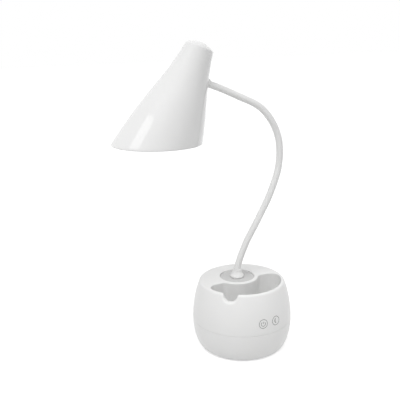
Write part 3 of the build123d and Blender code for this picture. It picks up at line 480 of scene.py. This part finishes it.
def notch_contour():
    """((along, drop), normal) pairs down one side of the notch, from the rim to its middle."""
    bowl_y = NOTCH_BOWL - NOTCH_DEPTH
    rise = bowl_y + NOTCH_SHOULDER
    reach = math.sqrt((NOTCH_BOWL + NOTCH_SHOULDER) ** 2 - rise**2)
    touch = math.degrees(math.atan2(rise, reach))
    shoulder = (Vector((reach, -NOTCH_SHOULDER)), NOTCH_SHOULDER, 90, 180 - touch, 1, SHOULDER_STEPS)
    bowl = (Vector((0, bowl_y)), NOTCH_BOWL, -touch, -90, -1, BOWL_STEPS)
    contour = []
    for centre, radius, start, end, way, pieces in (shoulder, bowl):
        for k in range(pieces):
            a = math.radians(start + (end - start) * k / pieces)
            out = Vector((math.cos(a), math.sin(a)))
            contour.append((centre + out * radius, out * way))
    contour.append((Vector((0, -NOTCH_DEPTH)), LEVEL))
    return contour


def rim_stations():
    """(angle, drop, normal) along the rim between the well's horns, through the notch."""
    middle = math.radians(NOTCH_ANGLE)
    side = notch_contour()
    half = side[0][0].x / rim_middle_r
    left_way, right_way = middle - half - well_start, well_end - middle - half
    stations = []
    for k in range(LEFT_RIM_STEPS):
        stations.append((well_start + left_way * k / LEFT_RIM_STEPS, 0.0, LEVEL))
    for place, normal in side:
        stations.append((middle - place.x / rim_middle_r, place.y, Vector((-normal.x, normal.y))))
    for place, normal in side[-2::-1]:
        stations.append((middle + place.x / rim_middle_r, place.y, normal))
    for k in range(1, RIGHT_RIM_STEPS + 1):
        stations.append((middle + half + right_way * k / RIGHT_RIM_STEPS, 0.0, LEVEL))
    return stations


def deck_stations():
    """(angle, drop, normal) along the edge of the deck, from the right horn to the left one."""
    way = 2 * math.pi + well_start - well_end
    return [(well_end + way * k / DECK_STEPS, 0.0, LEVEL) for k in range(1, DECK_STEPS)]


def under_rim(station, depth):
    """Angle and height at a depth under the rim's contour."""
    angle, drop, normal = station
    return angle - normal.x * depth / rim_middle_r, BASE_TOP + drop - normal.y * depth


def barrel_rows(mesh, stations):
    """Rows up the barrel's outside, from the bevel at the seam to the top of the rolled rim."""
    # A level is a depth under the rim's contour, an inset from the barrel's face and a height.
    levels = [
        (RIM_ROUND, SEAM_BEVEL, lambda top: SEAM_Z),
        (RIM_ROUND, 0.0, lambda top: SEAM_Z + SEAM_BEVEL),
    ]
    for k in range(1, HOUSING_ROWS):
        share = k / HOUSING_ROWS
        levels.append((RIM_ROUND, 0.0, lambda top, share=share: SEAM_Z + (top - SEAM_Z) * share))
    levels += [(depth, inset, lambda top: top) for depth, inset in quarter_round(RIM_ROUND)]
    rows = []
    for depth, inset, height in levels:
        row = []
        for station in stations:
            turn, top = under_rim(station, depth)
            z = height(top)
            row.append(mesh.verts.new(at_turn(barrel_radius(z) - inset, turn, z)))
        rows.append(row)
    return rows


def well_rows(mesh, stations):
    """Rows down into the well, round its edge and down the skirt that holds the pen cup."""
    rows = []
    for depth, inset in reversed(quarter_round(WELL_ROUND)):
        row = []
        for station in stations:
            turn, z = under_rim(station, depth)
            row.append(mesh.verts.new(at_turn(WELL_R + inset, turn, z)))
        for x, y in well_back(inset)[1:-1]:
            row.append(mesh.verts.new((x, y, BASE_TOP - depth)))
        rows.append(row)
    edge = [vert.co.copy() for vert in rows[-1]]
    for share in SKIRT_SHARES:
        rows.append([mesh.verts.new((x, y, z + (SKIRT_Z - z) * share)) for x, y, z in edge])
    return rows


def fill_flat(mesh, *loops):
    """Flat face inside the first loop of vertices, with the others as holes."""
    corners = [vert for loop in loops for vert in loop]
    for triangle in tessellate_polygon([[vert.co.copy() for vert in loop] for loop in loops]):
        chosen = [corners[k] for k in triangle]
        if len(set(chosen)) == 3:
            mesh.faces.new(chosen)


def upper_housing_mesh():
    """Outer skin of the moulding: barrel, rim, well, deck and the seat of the lens."""
    mesh = bmesh.new()
    rim = rim_stations()
    outside = barrel_rows(mesh, rim + deck_stations())
    bridge_all(mesh, outside)
    inside = well_rows(mesh, rim)
    bridge_all(mesh, inside)
    top, well_edge, count = outside[-1], inside[0], len(rim)
    bridge(mesh, top[:count], well_edge[:count], closed=False)
    bore_edge = (LENS_BORE + LENS_BORE_ROUND, BASE_TOP - LENS_BORE_ROUND)
    ledge = LENS_BORE - LENS_LEDGE
    seat = []
    for radius, z in (
        *arc_points(bore_edge, LENS_BORE_ROUND, 90, 180, pieces=2),
        (LENS_BORE, LENS_SEAT_Z),
        (ledge, LENS_SEAT_Z),
        (ledge, LENS_SEAT_Z - LENS_LEDGE_DEPTH),
    ):
        seat.append(level_ring(mesh, radius, z, LENS_BORE_STEPS, boss_axis))
    bridge_all(mesh, seat)
    deck_edge = [*top[count - 1:], top[0], well_edge[0], *well_edge[:count - 2:-1]]
    fill_flat(mesh, deck_edge, seat[0])
    bmesh.ops.remove_doubles(mesh, verts=mesh.verts, dist=WELD)
    return mesh


def thicken(piece, wall):
    """Gives an open skin its wall, on the side away from the faces' normals."""
    shell = piece.modifiers.new("wall", "SOLIDIFY")
    shell.thickness = wall
    shell.offset = -1


def even_shading(piece):
    """Lets large faces lead the smooth shading, so that flat stretches look flat."""
    even = piece.modifiers.new("even shading", "WEIGHTED_NORMAL")
    even.keep_sharp = True


upper = mesh_piece("upper_housing_shell", upper_housing_mesh(), crease=40)
thicken(upper, HOUSING_WALL)
even_shading(upper)
finish_piece(upper, housing_white, "base", "white_shell", "upper_housing")


# ---- Pen cup ----
# The kidney-shaped liner of the well, one white moulding that hangs under the rim.
# Its floor runs up into the walls in a round corner.
CUP_FLOOR_Z = 16.0 * mm
CUP_FLOOR_ROUND = 3.0 * mm
CUP_WALL = 1.6 * mm
CUP_JOINT = 0.04 * mm
CUP_ROWS = 12
CUP_STEPS = 120


def pen_cup_mesh():
    """Inner skin of the cup, from its joint with the housing's skirt down to the floor."""
    mesh = bmesh.new()
    foot_z = CUP_FLOOR_Z + CUP_FLOOR_ROUND
    levels = [(CUP_JOINT, SKIRT_Z)]
    for k in range(CUP_ROWS):
        levels.append((0.0, SKIRT_Z - CUP_JOINT + (foot_z - SKIRT_Z) * k / CUP_ROWS))
    for depth, inset in quarter_round(CUP_FLOOR_ROUND):
        levels.append((-inset, CUP_FLOOR_Z + depth))
    rings = []
    for grow, z in levels:
        front = arc_points((0.0, 0.0), WELL_R + grow, -180 - horn_angle, horn_angle, CUP_STEPS)
        rings.append([mesh.verts.new((x, y, z)) for x, y in front + well_back(grow)[1:-1]])
    bridge_all(mesh, rings)
    fill_flat(mesh, rings[-1])
    return mesh


cup = mesh_piece("pen_cup_liner", pen_cup_mesh(), crease=40)
thicken(cup, CUP_WALL)
even_shading(cup)
finish_piece(cup, housing_white, "base", "white_shell", "pen_cup")


# ---- Touch marks ----
# Two printed marks on the front of the barrel, over the touch keys: a ring with a power sign
# and a ring with a crescent. The ink is a thin grey film.
MARK_Z = 49.5 * mm
POWER_ANGLE = -95.0
MOON_ANGLE = -78.0
MARK_RING_R = 5.1 * mm
MARK_LINE = 0.55 * mm
POWER_R = 2.6 * mm
POWER_ARC = (130, 410)
POWER_STEM = (0.26 * mm, 2.86 * mm)
MOON_R = 3.0 * mm
MOON_ARC = (105, 255)
MOON_SHIFT = 1.5 * mm
MOON_LINE = 1.1 * mm
MOON_TAPER = 0.9
INK_LIFT = 0.04 * mm
INK_GREY = (0.22, 0.22, 0.22)

ink_grey = moulded("ink grey", INK_GREY, bump=0.2, cloud=0.1, cloud_scale=300.0, roughness=0.5)


def ink_strip(mesh, angle, line, width, taper):
    """Strip along a line of (across, up) points, laid on the barrel, with ends drawn thin."""
    rows = []
    for k, place in enumerate(line):
        before, after = line[max(k - 1, 0)], line[min(k + 1, len(line) - 1)]
        along = (Vector(after) - Vector(before)).normalized()
        from_middle = 2 * k / (len(line) - 1) - 1
        half_width = width * (1 - taper * from_middle**2) / 2
        across = Vector((-along.y, along.x)) * half_width
        row = []
        for point in (Vector(place) - across, Vector(place) + across):
            z = MARK_Z + point.y
            radius = barrel_radius(z) + INK_LIFT
            row.append(mesh.verts.new(at_turn(radius, math.radians(angle) + point.x / radius, z)))
        rows.append(row)
    for low, high in zip(rows, rows[1:]):
        bridge(mesh, low, high, closed=False)


def touch_mark(name, angle, *strokes):
    """One mark from its ring and its (line, width, taper) strokes."""
    mesh = bmesh.new()
    ring = arc_points((0.0, 0.0), MARK_RING_R, 0, 360, pieces=64)
    for line, width, taper in ((ring, MARK_LINE, 0.0), *strokes):
        ink_strip(mesh, angle, line, width, taper)
    mark = mesh_piece(name, mesh)
    thicken(mark, INK_LIFT)
    finish_piece(mark, ink_grey, "base", "white_shell")


power_loop = arc_points((0.0, 0.0), POWER_R, *POWER_ARC, pieces=40)
power_stem = [(0, up) for up in POWER_STEM]
crescent = arc_points((MOON_SHIFT, 0.0), MOON_R, *MOON_ARC, pieces=32)
touch_mark("power_mark", POWER_ANGLE, (power_loop, MARK_LINE, 0.0), (power_stem, MARK_LINE, 0.0))
touch_mark("moon_mark", MOON_ANGLE, (crescent, MOON_LINE, MOON_TAPER))


# ---- Night light lens ----
# A frosted disc let into the deck round the gooseneck, over a ring of small lamps.
# Its top is moulded flat with a softened edge.
LENS_R = 20.7 * mm
LENS_TOP = 81.0 * mm
LENS_EDGE_ROUND = 0.35 * mm
LENS_HOLE_R = 4.3 * mm
LENS_GREY = (0.66, 0.66, 0.655)

lens_outline = rounded([
    (LENS_HOLE_R, LENS_SEAT_Z, 0),
    (LENS_R, LENS_SEAT_Z, 0),
    (LENS_R, LENS_TOP, LENS_EDGE_ROUND),
    (LENS_HOLE_R, LENS_TOP, 0),
])
lens = turned("night_light_disc", lens_outline, steps=128, middle=boss_axis)
frosted = moulded(
    "frosted disc",
    LENS_GREY,
    bump=0.5,
    constants=[
        ("Subsurface Weight", 0.3),
        ("Subsurface Scale", 0.004),
        ("Subsurface Radius", (1, 1, 1)),
        ("Specular IOR Level", 0.2),
    ],
    cloud=0.12,
    roughness=0.5,
    rub=0.1,
    grain_scale=3500.0,
)
finish_piece(lens, frosted, "base", "frosted", "night_light_lens")


# ---- Neck collar ----
# A white bell that hides the gooseneck's fitting: it stands on the disc, draws in and ends in
# a rounded lip round the sleeve.
COLLAR_FOOT_R = 8.2 * mm
COLLAR_FOOT_ROUND = 1.6 * mm
COLLAR_TOP_R = 5.2 * mm
COLLAR_HEIGHT = 10.4 * mm
COLLAR_LIP_ROUND = 0.5 * mm
COLLAR_PLAY = 0.15 * mm
FLANK_FOOT = 2.4 * mm
FLANK_RISE = 7.2 * mm
FLANK_HOLLOW = 1.9
FLANK_STEPS = 16
SLEEVE_R = 3.95 * mm


def bell_outline():
    """Half section of the collar: foot, concave flank and lip."""
    bore = SLEEVE_R + COLLAR_PLAY
    top = LENS_TOP + COLLAR_HEIGHT
    flank = []
    for k in range(FLANK_STEPS + 1):
        share = k / FLANK_STEPS
        radius = COLLAR_TOP_R + (COLLAR_FOOT_R - COLLAR_TOP_R) * (1 - share) ** FLANK_HOLLOW
        flank.append((radius, LENS_TOP + FLANK_FOOT + FLANK_RISE * share))
    lip = (COLLAR_TOP_R - COLLAR_LIP_ROUND, top - COLLAR_LIP_ROUND)
    heel = (COLLAR_FOOT_R - COLLAR_FOOT_ROUND, LENS_TOP + COLLAR_FOOT_ROUND)
    return [
        (bore, LENS_TOP),
        *arc_points(heel, COLLAR_FOOT_ROUND, -80, 0, pieces=6),
        *flank,
        *arc_points(lip, COLLAR_LIP_ROUND, 0, 90, pieces=5),
        (bore, top),
    ]


collar = turned("neck_collar_bell", bell_outline(), steps=96, middle=boss_axis, crease=50)
finish_piece(collar, housing_white, "base", "white_shell", "neck_collar")


# ---- Gooseneck ----
# A wound steel tube in a smooth white silicone sleeve. The sleeve is one skin, drawn here in
# lengths from the middle of one link to the middle of the next, each bent across its joint.
SLEEVE_SIDES = 40
SLEEVE_RINGS = 12
SLEEVE_REACH = 1.06  # the last length runs on into the shade's wall
SLEEVE_WHITE = (0.93, 0.93, 0.924)
COIL_GREY = (0.5, 0.5, 0.5)
NECK_FOOT = Vector((0.0, 11.0, 86.0)) * mm
NECK_TIP = Vector((-32.033, 18.987, 313.126)) * mm
UPRIGHT = Vector((0, 0, 1))

chain = {joint["child"]: joint for joint in frame["joints"]}
links = ["base"]
while len(links) <= len(chain):
    links.append(next(child for child, joint in chain.items() if joint["parent"] == links[-1]))
neck_side = Vector(chain[links[1]]["axis"]).normalized()
knots = [NECK_FOOT, *[Vector(chain[link]["pos_m"]) for link in links[1:]], NECK_TIP]
tangents = [UPRIGHT]
for before, at, after in zip(knots, knots[1:], knots[2:]):
    into, out = at - before, after - at
    tangents.append((into.normalized() * out.length + out.normalized() * into.length).normalized())
tip_chord = (knots[-1] - knots[-2]).normalized()
tangents.append((2 * tip_chord * tip_chord.dot(tangents[-1]) - tangents[-1]).normalized())


def neck_point(link, share):
    """Point and direction on the neck's centreline, a share of the way along a link."""
    start, end = knots[link], knots[link + 1]
    reach = (end - start).length
    leave, arrive = tangents[link] * reach, tangents[link + 1] * reach
    s = share
    place = (
        start * (2 * s**3 - 3 * s**2 + 1)
        + leave * (s**3 - 2 * s**2 + s)
        + end * (3 * s**2 - 2 * s**3)
        + arrive * (s**3 - s**2)
    )
    along = (
        start * (6 * s**2 - 6 * s)
        + leave * (3 * s**2 - 4 * s + 1)
        + end * (6 * s - 6 * s**2)
        + arrive * (3 * s**2 - 2 * s)
    )
    return place, along.normalized()


def sleeve_length(name, *spans):
    """Skin of the sleeve along spans of (link, from share, to share)."""
    mesh = bmesh.new()
    rings = []
    for number, (link, low, high) in enumerate(spans):
        for k in range(0 if number == 0 else 1, SLEEVE_RINGS + 1):
            place, along = neck_point(link, low + (high - low) * k / SLEEVE_RINGS)
            side = (neck_side - along * along.dot(neck_side)).normalized()
            other = along.cross(side)
            ring = []
            for a in full_turn(SLEEVE_SIDES):
                out = side * math.cos(a) + other * math.sin(a)
                ring.append(mesh.verts.new(place + out * SLEEVE_R))
            rings.append(ring)
    bridge_all(mesh, rings)
    return mesh_piece(name, mesh)


silicone = moulded(
    "white silicone",
    SLEEVE_WHITE,
    bump=0.3,
    constants=[("Sheen Weight", 0.3), ("Sheen Roughness", 0.4), ("Specular IOR Level", 0.5)],
    cloud=0.05,
    roughness=0.5,
    rub=0.12,
    grain_scale=1800.0,
)
first = sleeve_length("neck_sleeve_foot", (0, 0.0, 0.5))
finish_piece(first, silicone, "base", "sleeve", "neck_sleeve_1")
for k in range(1, len(links)):
    part = sleeve_length(f"neck_sleeve_bend_{k}", (k - 1, 0.5, 1.0), (k, 0.0, 0.5))
    dress(part, silicone)
    if k < len(links) - 1:
        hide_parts(f"neck_sleeve_{k + 1}")
    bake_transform(part)
tip = sleeve_length("neck_sleeve_tip", (len(links) - 1, 0.5, SLEEVE_REACH))
finish_piece(tip, silicone, "head", "sleeve", f"neck_sleeve_{len(links)}")
coil_steel = metal("wound steel", COIL_GREY, roughness=0.35, line_scale=500.0)
for number in range(1, len(links) + 1):
    dress(frame["nodes"][f"neck_core_{number}"], coil_steel)


# ---- Shade ----
# One glossy white moulding: a cone with hollowed flanks and a low crown, cut off aslant at the
# mouth. The wall is thin, and its edge is rounded.
CROWN = Vector((-40.003, 20.974, 352.926)) * mm
NECK_PLANE_ANGLE = math.radians(166.0)
HEAD_TILT = math.radians(23.8)
SHADE_TOP_R = 15.9 * mm
SHADE_WAIST = (28.9 * mm, 50.0 * mm)
SHADE_FOOT = (54.6 * mm, 150.0 * mm)
SHADE_FLARE = math.radians(19.0)
SHADE_WALL = 1.8 * mm
SHADE_ROWS = 56
SHADE_STEPS = 192
CROWN_RISE = 4.9 * mm
CROWN_ROUND = 1.3 * mm
CROWN_STEPS = 8
CROWN_ROUND_STEPS = 6
CROWN_INSIDE = (12.3 * mm, -0.54 * mm)
MOUTH_T = 113.6 * mm
MOUTH_TILT = math.radians(22.8)
MOUTH_TRIES = 40
MOUTH_STEPS = 8
SHADE_WHITE = (0.89, 0.89, 0.887)

crown_r = (SHADE_TOP_R**2 + CROWN_RISE**2) / (2 * CROWN_RISE)
lean = Vector((math.cos(NECK_PLANE_ANGLE), math.sin(NECK_PLANE_ANGLE), 0))
head_up = UPRIGHT * math.cos(HEAD_TILT) - lean * math.sin(HEAD_TILT)
head_out = -(lean * math.cos(HEAD_TILT) + UPRIGHT * math.sin(HEAD_TILT))


def placed(x_axis, y_axis, z_axis, place):
    """Matrix that carries a piece's own axes and origin to these."""
    return Matrix((*zip(x_axis, y_axis, z_axis, place), (0, 0, 0, 1)))


head_place = placed(head_out, head_up.cross(head_out), head_up, CROWN)


def flank_radius(t):
    """Outer radius of the shade at a distance down its axis: two arcs that meet at the waist."""
    middle = Vector(SHADE_WAIST)
    inwards = Vector((math.cos(SHADE_FLARE), -math.sin(SHADE_FLARE)))
    target = Vector((SHADE_TOP_R, 0)) if t < SHADE_WAIST[1] else Vector(SHADE_FOOT)
    chord = target - middle
    radius = chord.length_squared / (2 * chord.dot(inwards))
    centre = middle + inwards * radius
    return centre.x - math.copysign(math.sqrt(radius**2 - (t - centre.y) ** 2), radius)


def mouth_depth(turn):
    """Distance down the axis where the outer wall meets the slanted mouth, in one direction."""
    t = MOUTH_T
    for _ in range(MOUTH_TRIES):
        t = MOUTH_T - math.tan(MOUTH_TILT) * flank_radius(t) * math.cos(turn)
    return t


def crown_points():
    """(radius, height) points over the domed crown and round its edge."""
    edge = SHADE_TOP_R - CROWN_ROUND
    points = []
    for k in range(CROWN_STEPS + 1):
        radius = edge * k / CROWN_STEPS
        points.append((radius, math.sqrt(crown_r**2 - radius**2) + CROWN_RISE - crown_r))
    start, end = Vector(points[-1]), Vector((flank_radius(CROWN_ROUND), -CROWN_ROUND))
    corner = Vector((SHADE_TOP_R, 0))
    for k in range(1, CROWN_ROUND_STEPS):
        s = k / CROWN_ROUND_STEPS
        points.append(tuple(start * (1 - s) ** 2 + corner * 2 * s * (1 - s) + end * s**2))
    return points


def shade_line(turn):
    """(radius, height) points over the crown, down the outside, round the lip and up the inside."""
    depth = mouth_depth(turn)
    half_wall = SHADE_WALL / 2
    points = crown_points()
    for k in range(SHADE_ROWS + 1):
        t = CROWN_ROUND + (depth - half_wall - CROWN_ROUND) * k / SHADE_ROWS
        points.append((flank_radius(t), -t))
    slope = math.atan((flank_radius(depth) - flank_radius(depth - mm)) / mm)
    inwards = Vector((-math.cos(slope), -math.sin(slope))) * half_wall
    downwards = Vector((math.sin(slope), -math.cos(slope))) * half_wall
    middle = Vector(points[-1]) + inwards
    for k in range(1, MOUTH_STEPS + 1):
        a = math.pi * k / MOUTH_STEPS
        points.append(tuple(middle - inwards * math.cos(a) + downwards * math.sin(a)))
    inner_end = -points[-1][1]
    for k in range(1, SHADE_ROWS + 1):
        t = inner_end + (CROWN_ROUND + SHADE_WALL - inner_end) * k / SHADE_ROWS
        points.append((flank_radius(t) - SHADE_WALL, -t))
    return [*points, CROWN_INSIDE]


def shade_mesh():
    """Closed wall of the shade, from a line for each direction round its axis."""
    mesh = bmesh.new()
    columns = []
    top = mesh.verts.new((0, 0, CROWN_RISE))
    under = mesh.verts.new((0, 0, CROWN_RISE - SHADE_WALL))
    for a in full_turn(SHADE_STEPS):
        line = shade_line(a)[1:]
        column = [mesh.verts.new((r * math.cos(a), r * math.sin(a), z)) for r, z in line]
        columns.append([top, *column, under])
    for column, after in zip(columns, columns[1:] + columns[:1]):
        bridge(mesh, column, after, closed=False)
    mesh.transform(head_place)
    return mesh


shade_white = moulded(
    "shade white",
    SHADE_WHITE,
    bump=0.04,
    constants=[("Coat Weight", 1.0), ("Coat Roughness", 0.05), ("Specular IOR Level", 0.4)],
    cloud=0.02,
    roughness=0.3,
    rub=0.04,
)
shade = mesh_piece("shade_shell", shade_mesh(), crease=60)
finish_piece(shade, shade_white, "head", "white_shade", "shade")


# ---- Head collar ----
# A short white ring where the gooseneck enters the shade, moulded in one piece.
# Its foot follows the shade's wall.
ENTRY_T = 33.1 * mm
HEAD_COLLAR_R = 5.4 * mm
HEAD_COLLAR_LENGTH = 1.6 * mm
HEAD_COLLAR_ROUND = 1.0 * mm
HEAD_COLLAR_PLAY = 0.1 * mm
HEAD_COLLAR_SINK = 0.02 * mm
HEAD_COLLAR_STEPS = 64


def head_collar_mesh():
    """Ring along the head's own X axis, whose foot is cut to the shade's round wall."""
    mesh = bmesh.new()
    far = flank_radius(ENTRY_T) + HEAD_COLLAR_LENGTH
    bore = SLEEVE_R + HEAD_COLLAR_PLAY
    rows = [(HEAD_COLLAR_R, None)]
    for depth, inset in quarter_round(HEAD_COLLAR_ROUND):
        rows.append((HEAD_COLLAR_R - inset, far - depth))
    rows += [(bore, far), (bore, None)]
    rings = []
    for radius, out in rows:
        ring = []
        for a in full_turn(HEAD_COLLAR_STEPS):
            y, z = radius * math.sin(a), -ENTRY_T + radius * math.cos(a)
            wall = math.sqrt(flank_radius(-z) ** 2 - y**2) - HEAD_COLLAR_SINK
            ring.append(mesh.verts.new((wall if out is None else out, y, z)))
        rings.append(ring)
    bridge_all(mesh, [*rings, rings[0]])
    mesh.transform(head_place)
    return mesh


head_collar = mesh_piece("head_collar_ring", head_collar_mesh(), crease=50)
finish_piece(head_collar, housing_white, "head", "white_shell", "head_collar")


# ---- Light unit ----
# A white cup inside the shade, screwed to its posts, with a frosted plate held by a snap ring.
# The plate hides the board and its lamps.
DIFFUSER_WHITE = (0.78, 0.78, 0.76)

diffuser_white = moulded(
    "frosted plate",
    DIFFUSER_WHITE,
    bump=0.4,
    constants=[
        ("Subsurface Weight", 0.4),
        ("Subsurface Scale", 0.005),
        ("Subsurface Radius", (1, 1, 1)),
    ],
    cloud=0.05,
    roughness=0.45,
    grain_scale=3000.0,
)
dress(frame["nodes"]["led_carrier"], inner_white)
dress(frame["nodes"]["diffuser"], diffuser_white)
dress(frame["nodes"]["diffuser_ring"], inner_white)


# ---- Studio ----
# A pale floor without an edge, a bright surround and four lamps: a wide one overhead, a panel on
# the left that draws the streak on the shade, and two soft spots from the right, one down into the
# pen well and one low on the barrel. The camera stands where the photograph was taken from.
FLOOR_SIZE = 12.0
FLOOR_LIFT = 0.62
FLOOR_GREY = 0.65
FLOOR_ROUGHNESS = 0.9
SURROUND = 0.34
TOP_FROM = (-0.3, -0.3, 0.9)
TOP_LIGHT = 1.9
TOP_SOFTNESS = 60.0
STREAK_FROM = (-1.265, -0.095, 1.234)
STREAK_AIM = (-0.12, 0.0, 0.27)
STREAK_SIZE = (0.7, 0.32)
STREAK_POWER = 1.3
WELL_FROM = (0.5, -0.68, 0.85)
WELL_AIM = (0.0, -0.01, 0.06)
WELL_POWER = 4.0
WELL_CONE = 11.0
LOW_FROM = (0.6, -0.3, 0.1)
LOW_AIM = (0.02, 0.0, 0.04)
LOW_POWER = 0.9
LOW_CONE = 18.0
SPOT_BLEND = 0.7
SPOT_SOFTNESS = 0.12

floor_mesh = bmesh.new()
bmesh.ops.create_grid(floor_mesh, x_segments=8, y_segments=8, size=FLOOR_SIZE / 2)
floor = mesh_piece("studio_floor", floor_mesh)
floor_paint = bpy.data.materials.new("studio floor")
floor_paint.use_nodes = True
floor_tree = floor_paint.node_tree
floor_shader = floor_tree.nodes["Principled BSDF"]


def seen_directly(tree):
    """Socket that is 1 for rays from the camera and for mirrored and refracted ones."""
    path = add_node(tree, "ShaderNodeLightPath").outputs
    either = maths(tree, "MAXIMUM", path["Is Camera Ray"], path["Is Glossy Ray"])
    return maths(tree, "MAXIMUM", either, path["Is Transmission Ray"])


floor_glow = maths(floor_tree, "MULTIPLY", seen_directly(floor_tree), FLOOR_LIFT)
floor_tree.links.new(floor_glow, floor_shader.inputs["Emission Strength"])
for label, value in (
    ("Base Color", (*[FLOOR_GREY] * 3, 1)),
    ("Roughness", FLOOR_ROUGHNESS),
    ("Specular IOR Level", 0.0),
    ("Emission Color", (1, 1, 1, 1)),
):
    floor_shader.inputs[label].default_value = value
dress(floor, floor_paint)

world = bpy.data.worlds.new("studio")
bpy.context.scene.world = world
world.use_nodes = True
sky = world.node_tree
surround = sky.nodes["Background"]
surround.inputs["Color"].default_value = (1, 1, 1, 1)
sky_range = [("Value", seen_directly(sky)), ("To Min", SURROUND), ("To Max", 1.0)]
sky_strength = add_node(sky, "ShaderNodeMapRange", sky_range).outputs[0]
sky.links.new(sky_strength, surround.inputs["Strength"])


def lamp(name, kind, place, aim, strength, **settings):
    """Lamp that faces a point."""
    light = bpy.data.lights.new(name, kind)
    light.energy = strength
    for label, value in settings.items():
        setattr(light, label, value)
    holder = bpy.data.objects.new(name, light)
    bpy.context.scene.collection.objects.link(holder)
    holder.location = place
    holder.rotation_euler = (Vector(aim) - Vector(place)).to_track_quat("-Z", "Y").to_euler()
    return holder


def soft_cone(spread):
    """Settings of a soft spot that lights a cone of so many degrees."""
    return {
        "spot_size": math.radians(spread),
        "spot_blend": SPOT_BLEND,
        "shadow_soft_size": SPOT_SOFTNESS,
    }


panel = {"shape": "RECTANGLE", "size": STREAK_SIZE[0], "size_y": STREAK_SIZE[1]}
overhead = lamp("overhead", "SUN", TOP_FROM, (0, 0, 0), TOP_LIGHT, angle=math.radians(TOP_SOFTNESS))
well_fill = lamp("well_fill", "SPOT", WELL_FROM, WELL_AIM, WELL_POWER, **soft_cone(WELL_CONE))
lamp("streak", "AREA", STREAK_FROM, STREAK_AIM, STREAK_POWER, **panel)
low_fill = lamp("low_fill", "SPOT", LOW_FROM, LOW_AIM, LOW_POWER, **soft_cone(LOW_CONE))
for holder in (overhead, well_fill, low_fill):
    holder.visible_glossy = False

CAMERA_PLACE = Vector((-350.05, -608.09, 373.3)) * mm
CAMERA_HEADING = Vector((0.43837, 0.89879, 0.0))
CAMERA_DOWN = math.radians(15.37)
CAMERA_ROLL = math.radians(1.043)
CAMERA_LENS = 56.57
CAMERA_SENSOR = 36.0

view = bpy.data.cameras.new("view")
view.sensor_width = CAMERA_SENSOR
view.lens = CAMERA_LENS
camera = bpy.data.objects.new("view", view)
bpy.context.scene.collection.objects.link(camera)
right = CAMERA_HEADING.cross(UPRIGHT).normalized()
forward = CAMERA_HEADING.normalized() * math.cos(CAMERA_DOWN) - UPRIGHT * math.sin(CAMERA_DOWN)
above = right.cross(forward)
across = right * math.cos(CAMERA_ROLL) - above * math.sin(CAMERA_ROLL)
upwards = right * math.sin(CAMERA_ROLL) + above * math.cos(CAMERA_ROLL)
camera.matrix_world = placed(across, upwards, -forward, CAMERA_PLACE)
bpy.context.scene.camera = camera
bpy.context.scene.view_settings.view_transform = "Standard"
